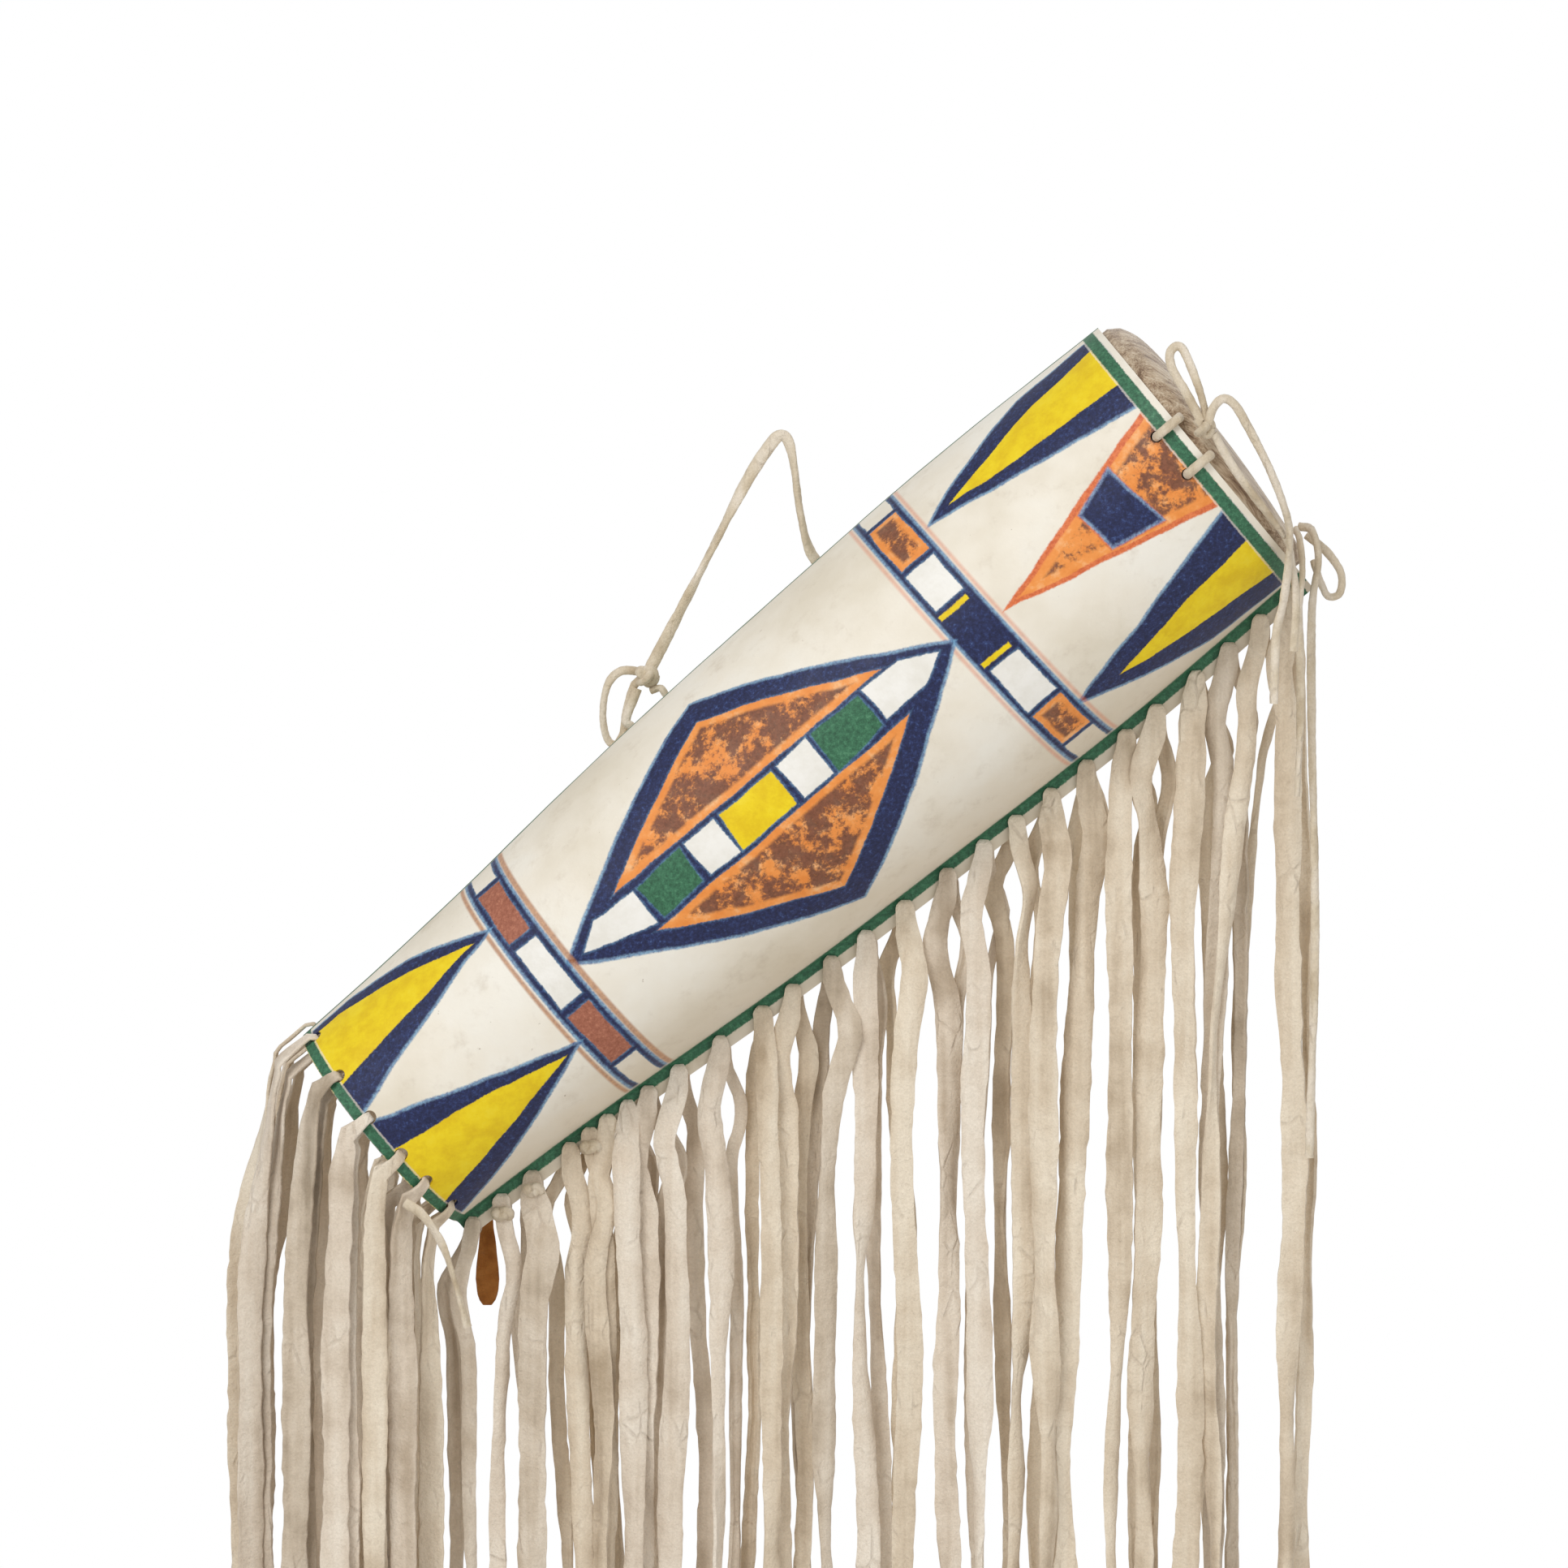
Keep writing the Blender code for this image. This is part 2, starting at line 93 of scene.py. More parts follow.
floor_mesh = bpy.data.meshes.new("floor")
floor_mesh.from_pydata([(-2, -2, -1.04), (2, -2, -1.04), (2, 2, -1.04), (-2, 2, -1.04)], [], [(0, 1, 2, 3)])
floor = bpy.data.objects.new("floor", floor_mesh)
floor_paint = bpy.data.materials.new("pale_floor")
floor_paint.use_nodes = True
floor_paint.node_tree.nodes["Principled BSDF"].inputs["Base Color"].default_value = (0.80, 0.79, 0.77, 1.0)
floor_paint.node_tree.nodes["Principled BSDF"].inputs["Roughness"].default_value = 0.85
floor_mesh.materials.append(floor_paint)
scene.collection.objects.link(floor)

# ---------------------------------------------------------------------------------------------
# Thongs: narrow thongs of softened hide, not quite round and slowly twisting, that hang the case
# and tie its lid. One node tree draws each along its line; each keeps the CAD's own route.
# ---------------------------------------------------------------------------------------------
# They are placed in the case's own frame. The tube leans, its foot low on the left; up runs along it
# from foot to mouth, and the laced seam is on its lower side. Lengths are in metres.
LEAN = math.radians(39.7)
CASE_LENGTH = 0.516
CASE_FOOT = Vector((-0.1954, -0.0120, -0.3388))
CASE_FRAME = Matrix.Translation(CASE_FOOT) @ Matrix.Rotation(math.pi / 2 - LEAN, 4, "Y")
TUBE_RADII = ((0, 0.0586), (0.15, 0.0620), (0.4, 0.0716), (0.6, 0.0759), (0.8, 0.0785), (1, 0.0764))
HIDE = 0.0022
FRONT = CASE_FOOT.y


def tube_radius(up):
    """The hide's outer radius at a height, smooth through the sizes above."""
    share = min(max(up / CASE_LENGTH, 0.0), 1.0)
    for (a, low), (b, high) in zip(TUBE_RADII, TUBE_RADII[1:]):
        if share <= b:
            break
    (foot_share, foot_size), (next_share, next_size) = TUBE_RADII[:2]
    keys = [(2 * foot_share - next_share, 2 * foot_size - next_size), *TUBE_RADII]
    keys.append((2 * keys[-1][0] - keys[-2][0], 2 * keys[-1][1] - keys[-2][1]))
    at = keys.index((a, low))
    slope_a = (keys[at + 1][1] - keys[at - 1][1]) / (keys[at + 1][0] - keys[at - 1][0])
    slope_b = (keys[at + 2][1] - keys[at][1]) / (keys[at + 2][0] - keys[at][0])
    t = (share - a) / (b - a)
    bend = (2 * t**3 - 3 * t**2 + 1) * low + (3 * t**2 - 2 * t**3) * high
    return bend + (b - a) * ((t**3 - 2 * t**2 + t) * slope_a + (t**3 - t**2) * slope_b)


def in_case(x, y, up):
    return CASE_FRAME @ Vector((x, y, up))


def node(tree, kind, *inputs, **settings):
    """A node with its settings, then its shown inputs filled in order: a socket is joined, a value is set."""
    made = tree.nodes.new(kind)
    for name, value in settings.items():
        setattr(made, name, value)
    for socket, value in zip([s for s in made.inputs if s.enabled], inputs):
        if isinstance(value, bpy.types.NodeSocket):
            tree.links.new(value, socket)
        elif value is not None:
            socket.default_value = value
    return made


def shown(made, name=None):
    """A node's output by name, or its first one in use."""
    return next(s for s in made.outputs if s.enabled and (name is None or s.name == name))


def math_node(tree, operation, *inputs):
    return shown(node(tree, "ShaderNodeMath", *inputs, operation=operation))


def added(tree, a, b):
    return math_node(tree, "ADD", a, b)


def minus(tree, a, b):
    return math_node(tree, "SUBTRACT", a, b)


def times(tree, a, b):
    return math_node(tree, "MULTIPLY", a, b)


def times_plus(tree, a, b, c):
    return math_node(tree, "MULTIPLY_ADD", a, b, c)


def vector_node(tree, operation, *inputs):
    return shown(node(tree, "ShaderNodeVectorMath", *inputs, operation=operation))


def making_tree(name, **inputs):
    """A geometry tree with named inputs, and its input node's sockets."""
    tree = bpy.data.node_groups.new(name, "GeometryNodeTree")
    tree.interface.new_socket("Geometry", in_out="INPUT", socket_type="NodeSocketGeometry")
    for label, kind in inputs.items():
        tree.interface.new_socket(label.replace("_", " "), in_out="INPUT", socket_type=f"NodeSocket{kind}")
    tree.interface.new_socket("Geometry", in_out="OUTPUT", socket_type="NodeSocketGeometry")
    start = tree.nodes.new("NodeGroupInput")
    return tree, start.outputs


def end_tree(tree, geometry, material):
    real = shown(node(tree, "GeometryNodeRealizeInstances", geometry))
    coated = shown(node(tree, "GeometryNodeSetMaterial", real, None, material))
    tree.links.new(coated, tree.nodes.new("NodeGroupOutput").inputs[0])


def made_by(tree, name, start, thickness=0.0, crease=50, rounding=0.0, **values):
    """The plain mesh object that a tree makes of a mesh, with a wall and soft edges if it needs them."""
    holder = bpy.data.objects.new("making", start)
    scene.collection.objects.link(holder)
    maker = holder.modifiers.new("making", "NODES")
    maker.node_group = tree
    for item in tree.interface.items_tree:
        if item.item_type == "SOCKET" and item.in_out == "INPUT" and item.name in values:
            maker[item.identifier] = values[item.name]
    if thickness:
        wall = holder.modifiers.new("wall", "SOLIDIFY")
        wall.thickness = thickness
        wall.offset = 0.0
        wall.use_even_offset = not rounding
    if rounding:
        soft_edge = holder.modifiers.new("soft_edge", "BEVEL")
        soft_edge.width = rounding
        soft_edge.segments = 2
        soft_edge.limit_method = "ANGLE"
        soft_edge.angle_limit = math.radians(55)
    bpy.context.view_layer.update()
    mesh = bpy.data.meshes.new_from_object(holder.evaluated_get(bpy.context.evaluated_depsgraph_get()))
    bpy.data.objects.remove(holder)
    mesh.name = name
    return finished(name, mesh, crease)


def finished(name, mesh, crease=50):
    """An object at the origin for a mesh, shaded smooth up to a crease angle."""
    mesh.polygons.foreach_set("use_smooth", [True] * len(mesh.polygons))
    mesh.set_sharp_from_angle(angle=math.radians(crease))
    made = bpy.data.objects.new(name, mesh)
    scene.collection.objects.link(made)
    return made


def smooth_path(route, step):
    """Evenly spaced points on a smooth line through a route."""
    keys = np.array([tuple(p) for p in route], float)
    keys = np.vstack([2 * keys[0] - keys[1], keys, 2 * keys[-1] - keys[-2]])
    t = np.linspace(0, 1, 24, endpoint=False)[:, None]
    fine = []
    for a, b, c, d in zip(keys, keys[1:], keys[2:], keys[3:]):
        rise = 2 * b + (c - a) * t + (2 * a - 5 * b + 4 * c - d) * t**2
        fine.append(0.5 * (rise + (3 * b - a - 3 * c + d) * t**3))
    fine = np.vstack(fine + [keys[-2:-1]])
    along = np.concatenate([[0], np.cumsum(np.linalg.norm(np.diff(fine, axis=0), axis=1))])
    count = max(4, int(round(along[-1] / step)) + 1)
    even = np.linspace(0, along[-1], count)
    return np.stack([np.interp(even, along, fine[:, k]) for k in range(3)], axis=1)


def line_mesh(name, points, **vectors):
    """A line of points as a mesh, with a named vector at each point."""
    mesh = bpy.data.meshes.new(name)
    mesh.from_pydata([tuple(p) for p in points], [(i, i + 1) for i in range(len(points) - 1)], [])
    for label, values in vectors.items():
        attribute = mesh.attributes.new(label, "FLOAT_VECTOR", "POINT")
        attribute.data.foreach_set("vector", np.asarray(values, np.float32).ravel())
    return mesh


def named_vector(tree, label):
    """One of a line's named vectors, inside a tree."""
    return shown(node(tree, "GeometryNodeInputNamedAttribute", label, data_type="FLOAT_VECTOR"))


def srgb(red, green, blue):
    """A colour named in screen values, 0 to 255, as the shader wants it."""
    def linear(v):
        v /= 255
        return v / 12.92 if v <= 0.04045 else ((v + 0.055) / 1.055) ** 2.4
    return (linear(red), linear(green), linear(blue), 1.0)


def noise(tree, place, scale, detail=2.0, rough=0.5, w=None):
    """A noise value on a place; a seed makes it the four-way kind."""
    made = node(tree, "ShaderNodeTexNoise", noise_dimensions="3D" if w is None else "4D")
    tree.links.new(place, made.inputs["Vector"])
    made.inputs["Scale"].default_value = scale
    made.inputs["Detail"].default_value = detail
    made.inputs["Roughness"].default_value = rough
    if w is not None:
        if isinstance(w, bpy.types.NodeSocket):
            tree.links.new(w, made.inputs["W"])
        else:
            made.inputs["W"].default_value = w
    return made.outputs["Fac" if "Fac" in made.outputs else "Factor"]


def ramp(tree, value, *stops):
    """A colour ramp: (position, colour) stops."""
    made = node(tree, "ShaderNodeValToRGB", value)
    while len(made.color_ramp.elements) < len(stops):
        made.color_ramp.elements.new(0.5)
    for element, (at, colour) in zip(made.color_ramp.elements, stops):
        element.position = at
        element.color = colour
    return made.outputs["Color"]


def remap(tree, value, low, high, to_low=0.0, to_high=1.0, kind="SMOOTHSTEP"):
    made = node(tree, "ShaderNodeMapRange", value, low, high, to_low, to_high, interpolation_type=kind)
    return shown(made)


def mixed(tree, factor, a, b, blend="MIX"):
    made = node(tree, "ShaderNodeMix", factor, a, b, data_type="RGBA", blend_type=blend)
    return shown(made)


def new_finish(name):
    """A node material, its tree, its shader, and its place in metres on the object."""
    made = bpy.data.materials.new(name)
    made.use_nodes = True
    tree = made.node_tree
    place = tree.nodes.new("ShaderNodeTexCoord").outputs["Object"]
    return made, tree, tree.nodes["Principled BSDF"], place


def grain(tree, shader, height, distance, strength=1.0):
    """Joins a height to the shader's normal as a bump."""
    bump = node(tree, "ShaderNodeBump")
    bump.inputs["Strength"].default_value = strength
    bump.inputs["Distance"].default_value = distance
    tree.links.new(height, bump.inputs["Height"])
    tree.links.new(bump.outputs["Normal"], shader.inputs["Normal"])


def softened_hide(name, pale, mid, dark, tone_scale=(70.0, 70.0, 4.0)):
    """Brain-tanned hide: sueded, blotched from strip to strip, with crinkled patches and worn creases."""
    made, tree, shader, place = new_finish(name)
    stretched = vector_node(tree, "MULTIPLY", place, tone_scale)
    tone = noise(tree, stretched, 1.0, 3.0, 0.6)
    patch = noise(tree, place, 38.0, 3.0, 0.6)
    nap = noise(tree, place, 900.0, 3.0, 0.7)
    whole = added(tree, times(tree, tone, 0.62), times(tree, patch, 0.38))
    colour = ramp(tree, whole, (0.34, dark), (0.47, mid), (0.60, pale))
    napped = ramp(tree, nap, (0.30, (0.89, 0.88, 0.86, 1)), (0.72, (1.05, 1.05, 1.05, 1)))
    colour = mixed(tree, 1.0, colour, napped, "MULTIPLY")
    crease_place = vector_node(tree, "MULTIPLY", place, (1.0, 1.0, 0.55))
    creases = node(tree, "ShaderNodeTexVoronoi", feature="DISTANCE_TO_EDGE")
    tree.links.new(crease_place, creases.inputs["Vector"])
    creases.inputs["Scale"].default_value = 120.0
    crease = remap(tree, creases.outputs["Distance"], 0.0, 0.10)
    worn = remap(tree, patch, 0.52, 0.66)
    crease = minus(tree, 1.0, times(tree, worn, minus(tree, 1.0, crease)))
    colour = mixed(tree, remap(tree, crease, 0.0, 1.0, 0.22, 0.0, "LINEAR"), colour, srgb(172, 148, 122))
    tree.links.new(colour, shader.inputs["Base Color"])
    shader.inputs["Roughness"].default_value = 0.88
    shader.inputs["Sheen Weight"].default_value = 0.18
    shader.inputs["Sheen Roughness"].default_value = 0.55
    shader.inputs["Specular IOR Level"].default_value = 0.25
    height = added(tree, times(tree, nap, 0.45), times(tree, noise(tree, place, 210.0, 4.0, 0.62), 1.3))
    height = added(tree, height, times(tree, crease, 0.5))
    grain(tree, shader, height, 0.00095)
    return made


thong_hide = softened_hide(
    "thong_hide", srgb(238, 226, 208), srgb(221, 206, 181), srgb(194, 175, 146), (90.0, 90.0, 40.0)
)

thong_tree, given = making_tree(
    "thong", Thickness="Float", Flatness="Float", Twist="Float", Unevenness="Float", Seed="Float",
    Material="Material"
)
line = shown(node(thong_tree, "GeometryNodeMeshToCurve", given["Geometry"]))
reach = shown(node(thong_tree, "GeometryNodeSplineParameter"), "Length")
spot = shown(node(thong_tree, "GeometryNodeInputPosition"))
turn = times(thong_tree, reach, given["Twist"])
turn = added(thong_tree, turn, times(thong_tree, noise(thong_tree, spot, 30.0, w=given["Seed"]), 3.0))
line = shown(node(thong_tree, "GeometryNodeSetCurveTilt", line, None, turn))
girth = remap(thong_tree, noise(thong_tree, spot, 160.0, w=given["Seed"]), 0.2, 0.8, 0.92, 1.07, "LINEAR")
line = shown(node(thong_tree, "GeometryNodeSetCurveRadius", line, None, girth))
ring = node(thong_tree, "GeometryNodeCurvePrimitiveCircle")
ring.inputs["Resolution"].default_value = 14
thong_tree.links.new(times(thong_tree, given["Thickness"], 0.5), ring.inputs["Radius"])
wide = added(thong_tree, 1.0, given["Flatness"])
thin = minus(thong_tree, 1.0, given["Flatness"])
oval = node(thong_tree, "GeometryNodeTransform")
thong_tree.links.new(ring.outputs[0], oval.inputs["Geometry"])
thong_tree.links.new(shown(node(thong_tree, "ShaderNodeCombineXYZ", wide, thin, 1.0)), oval.inputs["Scale"])
tube = node(thong_tree, "GeometryNodeCurveToMesh")
thong_tree.links.new(line, tube.inputs["Curve"])
thong_tree.links.new(oval.outputs[0], tube.inputs["Profile Curve"])
tube.inputs["Fill Caps"].default_value = True
lumps = remap(
    thong_tree, noise(thong_tree, spot, 420.0, 2.0, 0.6, given["Seed"]), 0.2, 0.8, -1.0, 1.0, "LINEAR"
)
lumps = times(thong_tree, lumps, given["Unevenness"])
offset = vector_node(thong_tree, "SCALE", shown(node(thong_tree, "GeometryNodeInputNormal")))
thong_tree.links.new(lumps, offset.node.inputs["Scale"])
lumpy = shown(node(thong_tree, "GeometryNodeSetPosition", tube.outputs[0], None, None, offset))
end_tree(thong_tree, lumpy, given["Material"])


def thong(name, route, diameter, seed, flatness=0.12, pitch=0.0012):
    """A thong along a route, and the points that it follows."""
    path = smooth_path(route, pitch)
    made = made_by(
        thong_tree, name, line_mesh(name, path), crease=70,
        Thickness=diameter * 0.98, Flatness=flatness, Twist=28.0, Unevenness=0.00022, Seed=float(seed),
        Material=thong_hide,
    )
    return made, path


def knotted(name, centre, size, diameter, seed, turns=(2, 3), lean=0.0):
    """A tight knot: one thong wound through itself inside the knot's size."""
    t = np.linspace(0, 2 * math.pi, 90)
    p, q = turns
    radius = 1.0 + 0.52 * np.cos(q * t)
    points = np.stack([radius * np.cos(p * t), radius * np.sin(p * t), 0.62 * np.sin(q * t)], axis=1)
    room_left = (np.array(size) - diameter) / 2
    points = points / np.abs(points).max(axis=0) * room_left
    turned = points @ np.array(Matrix.Rotation(lean, 3, "X").transposed())
    made = made_by(
        thong_tree, name, line_mesh(name, turned + np.array(centre)), crease=70,
        Thickness=diameter, Flatness=0.10, Twist=10.0, Unevenness=0.0002, Seed=float(seed),
        Material=thong_hide,
    )
    return made


THONG = 0.0040
THIN_THONG = 0.0036
LOOP = 0.0050
LOOP_HOLES = (0.423, 0.467, 0.658)
LOOP_HOLE_BACK = 0.0120


def loop_hole(share, out):
    """A point on the way through one of the hanging loop's holes, some way outside the hide."""
    up = share * CASE_LENGTH
    radius = tube_radius(up)
    centre = Vector((-math.sqrt(radius**2 - LOOP_HOLE_BACK**2), LOOP_HOLE_BACK, 0.0))
    centre += centre.normalized() * out
    return in_case(centre.x, centre.y, up)


# The hanging loop: one thong from the knot, over the peg and down into the tube's upper side.
loop_route = [
    (-0.0660, 0, -0.1182), (-0.0400, 0.001, -0.0680), (-0.0190, 0.001, -0.0270), (-0.0070, 0, -0.0080),
    (-0.0010, 0, -0.0021), (0.0030, 0, -0.0060), (0.0058, 0, -0.0200), (0.0085, 0, -0.0400),
    loop_hole(0.658, 0.006), loop_hole(0.658, -0.012),
]
hanging_loop, loop_path = thong("peg_loop", loop_route, LOOP, 3, flatness=0.27)
loop_knot_at = Vector((-0.0664, 0, -0.1190))
loop_knot = knotted("peg_loop_knot", loop_knot_at, (0.0128, 0.0112, 0.0120), 0.0048, 11, lean=1.1)
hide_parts("hanging_loop")
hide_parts("hanging_loop_knot")
for piece in (hanging_loop, loop_knot):
    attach(piece, "hanger")

# The tie: it leaves the knot, passes into the tube at one hole and out at the next, back to the knot.
tie_steps = (0.0055, 0.0015, -0.0025, -0.0065)
tie_route = [loop_knot_at + Vector((-0.0045, 0.0020, -0.0064))]
tie_route += [loop_hole(LOOP_HOLES[0], step) for step in tie_steps]
tie_route += [loop_hole(LOOP_HOLES[1], step) for step in reversed(tie_steps)]
tie_route += [loop_knot_at + Vector((0.0020, 0.0020, -0.0074))]
loop_tie, tie_path = thong("peg_loop_tie", tie_route, THONG, 5, pitch=0.0009)
bow_route = [
    (-0.0690, 0, -0.1170), (-0.0790, 0.002, -0.1168), (-0.0856, 0.004, -0.1235), (-0.0882, 0.006, -0.1370),
    (-0.0866, 0.007, -0.1490), (-0.0822, 0.007, -0.1528), (-0.0782, 0.0065, -0.1470),
    (-0.0766, 0.006, -0.1360),
    (-0.0730, 0.003, -0.1245), (-0.0690, 0.001, -0.1205),
]
loop_bow, bow_path = thong("peg_loop_bow", bow_route, THONG, 7, pitch=0.0009)
for piece, path, solid in (
    (loop_tie, tie_path, "hanging_loop_tie"), (loop_bow, bow_path, "hanging_loop_bow")
):
    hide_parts(solid)
    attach(piece, "hanger")

# Lid stitches: two short thongs over the tube's edge that hold the lid at the front.
STITCH_ACROSS = (-0.0177, 0.0053)
STITCH_DOWN = 0.0115
LID_RADIUS = 0.0731
for number, across in enumerate(STITCH_ACROSS, 1):
    wall = tube_radius(CASE_LENGTH - STITCH_DOWN)
    outside = wall + THONG / 2 + 0.0010
    side = math.sqrt(LID_RADIUS**2 - across**2) + 0.0012
    low = CASE_LENGTH - STITCH_DOWN
    stitch_route = [(-(wall - 0.0085), low - 0.0010), (-wall, low), (-outside - 0.0004, low + 0.0022)]
    stitch_route += [(-outside - 0.0004, CASE_LENGTH - 0.0030), (-outside + 0.0002, CASE_LENGTH + 0.0012)]
    stitch_route += [(-wall - 0.0002, CASE_LENGTH + 0.0028), (-side, CASE_LENGTH + 0.0028)]
    shift = wall - math.sqrt(wall**2 - across**2)
    points = [in_case(across, y + (shift if i < 6 else 0), z) for i, (y, z) in enumerate(stitch_route)]
    stitch, _ = thong(f"mouth_stitch_{number}", points, THONG * 1.06, 20 + number, pitch=0.0007)
    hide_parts(f"lid_stitch_{number}")
    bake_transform(stitch)

# The lid's thongs: a knot at the front edge with a bow behind it, an arched thong that hangs over
# the mouth, and at the seam side a long hanging end with a small bow.
lid_knot_at = in_case(-0.0065, -0.0812, CASE_LENGTH + 0.0085)
lid_knot = knotted("lid_thong_knot", lid_knot_at, (0.0112, 0.0098, 0.0104), THONG, 31, lean=0.7)
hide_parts("lid_knot")
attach(lid_knot, "lid")
lid_routes = {
    "lid_bow_left": [
        (0.2026, FRONT - 0.0830, 0.0040), (0.1962, FRONT - 0.0812, 0.0165), (0.1890, FRONT - 0.0780, 0.0290),
        (0.1880, FRONT - 0.0760, 0.0370), (0.1928, FRONT - 0.0750, 0.0395), (0.1982, FRONT - 0.0770, 0.0290),
        (0.2030, FRONT - 0.0800, 0.0150), (0.2052, FRONT - 0.0815, 0.0048),
    ],
    "closure_thong": [
        (0.2058, FRONT - 0.0835, 0.0030), (0.2082, FRONT - 0.0842, 0.0105), (0.2130, FRONT - 0.0830, 0.0150),
        (0.2185, FRONT - 0.0820, 0.0120), (0.2245, FRONT - 0.0800, 0.0020), (0.2344, FRONT - 0.0760, -0.0170),
        (0.2416, FRONT - 0.0700, -0.0352), (0.2446, FRONT - 0.0620, -0.0480),
        (0.2440, FRONT - 0.0540, -0.0656),
        (0.2416, FRONT - 0.0500, -0.0828), (0.2385, FRONT - 0.0480, -0.0980),
        (0.2375, FRONT - 0.0470, -0.1300),
    ],
    "closure_thong_tail": [
        (0.2500, FRONT - 0.0100, -0.0460), (0.2560, FRONT - 0.0140, -0.0480),
        (0.2590, FRONT - 0.0180, -0.0620),
        (0.2560, FRONT - 0.0180, -0.0860), (0.2560, FRONT - 0.0170, -0.1400),
        (0.2580, FRONT - 0.0160, -0.2400),
        (0.2555, FRONT - 0.0160, -0.3500),
    ],
    "closure_bow": [
        (0.2535, FRONT - 0.0020, -0.0500), (0.2590, FRONT - 0.0030, -0.0545),
        (0.2650, FRONT - 0.0045, -0.0602),
        (0.2702, FRONT - 0.0060, -0.0690), (0.2694, FRONT - 0.0070, -0.0782),
        (0.2638, FRONT - 0.0070, -0.0795),
        (0.2598, FRONT - 0.0060, -0.0715), (0.2568, FRONT - 0.0035, -0.0625),
    ],
}
lid_ends = {
    "lid_bow_left": ("object", None), "closure_bow": ("object", None),
    "closure_thong": ("bare", ((0.2130, FRONT - 0.0830, 0.0150), (0.2344, FRONT - 0.0760, -0.0170))),
    "closure_thong_tail": ("bare", ((0.2590, FRONT - 0.0180, -0.0560), (0.2560, FRONT - 0.0170, -0.1400))),
}
for seed, (name, route) in enumerate(lid_routes.items(), 41):
    far_end, crossing = lid_ends[name]
    piece, path = thong(name + "_strand", route, THONG, seed, pitch=0.0009 if far_end == "object" else 0.0014)
    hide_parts(name)
    if crossing:
        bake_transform(piece)
    else:
        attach(piece, "lid")

# Two more of the lid's thongs have no solid of their own: one lies along the lid's front edge from the
# knot and then hangs, and one hangs from the seam corner.
def on_lid_edge(degrees, out, rise):
    """A point beside the lid's edge at an angle from the front towards the seam."""
    turned = math.radians(degrees)
    return in_case(math.sin(turned) * out, -math.cos(turned) * out, CASE_LENGTH + rise)


edge_route = [on_lid_edge(*spot) for spot in (
    (-1, 0.0800, 0.0105), (6, 0.0785, 0.0085), (16, 0.0775, 0.0068), (28, 0.0775, 0.0060),
    (40, 0.0785, 0.0056), (50, 0.0810, 0.0040),
)]
edge_route += [
    (0.2462, FRONT - 0.0500, -0.0640), (0.2480, FRONT - 0.0480, -0.0820), (0.2468, FRONT - 0.0470, -0.1050)
]
corner_route = [
    (0.2478, FRONT - 0.0240, -0.0470), (0.2500, FRONT - 0.0290, -0.0530), (0.2512, FRONT - 0.0310, -0.0680),
    (0.2498, FRONT - 0.0305, -0.0900), (0.2506, FRONT - 0.0300, -0.1300), (0.2490, FRONT - 0.0300, -0.1750),
]
for seed, (name, route, crossing) in enumerate((
    ("lid_edge_strand", edge_route, (edge_route[4], edge_route[7])),
    ("seam_corner_strand", corner_route, (corner_route[1], corner_route[4])),
), 61):
    piece, path = thong(name, route, THIN_THONG, seed, flatness=0.2, pitch=0.0014)
    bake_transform(piece)

# The foot's short thong end, left over from lacing the bottom disc.
foot_route = [
    (-0.1780, FRONT - 0.0560, -0.3700), (-0.1690, FRONT - 0.0580, -0.3760),
    (-0.1600, FRONT - 0.0570, -0.3900),
    (-0.1540, FRONT - 0.0560, -0.4080), (-0.1480, FRONT - 0.0550, -0.4300),
]
foot_thong, foot_path = thong("foot_lacing_end", foot_route, THONG, 51, flatness=0.30)
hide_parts("foot_thong")
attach(foot_thong, "case")

# ---------------------------------------------------------------------------------------------
# The tube: one sheet of rawhide rolled into a round and laced along its lower side, where its two
# edges stand out as a flat seam. Dried hard, so it keeps shallow waves. The holes are punched.
# ---------------------------------------------------------------------------------------------
SEAM_WIDTH = 0.0112
SEAM_HOLE_OUT = 0.0056
GAP = 0.0003
HOLE_RADIUS = 0.0033
SEAM_HOLE_RADIUS = 0.0026
LOOP_HOLE_RADIUS = 0.0036
SEAM_HOLES_MM = (
    5, 23, 42, 65, 77, 88, 100, 112, 130, 155, 180, 198, 221, 242, 266, 292, 314, 334, 355, 377, 401, 420,
    445, 466, 486, 506
)
RIM_HOLE_UP = 0.0070
RIM_ANGLES = (-90, -66, -33, -7, 16, 35, 59, 121, 145, 164, 187, 213, 246)
CUP_DEPTH = 0.0145
CUP_HIDE = 0.0018
CUP_RADIUS = TUBE_RADII[0][1] - HIDE - 0.0005


def rim_direction(degrees):
    """Outward in the case frame at an angle from the front towards the seam."""
    return Vector((math.sin(math.radians(degrees)), -math.cos(math.radians(degrees)), 0.0))


def seam_section(up):
    """The hide's middle line at one height: seam edge, bend, round body, bend, seam edge."""
    radius = tube_radius(up) - HIDE / 2
    flat = HIDE / 2 + GAP
    half = [(radius + SEAM_WIDTH - k * 0.0012, flat) for k in range(7)]
    half += [
        (radius + 0.0030, flat + 0.0001), (radius + 0.0022, 0.0017), (radius + 0.0008, 0.0028),
        (radius, 0.0048)
    ]
    first = math.asin(0.0048 / radius) + 0.045
    for angle in np.linspace(first, math.pi, 74):
        half.append((radius * math.cos(angle), radius * math.sin(angle)))
    front = [(x, -y) for x, y in half]
    return front + half[-2::-1]


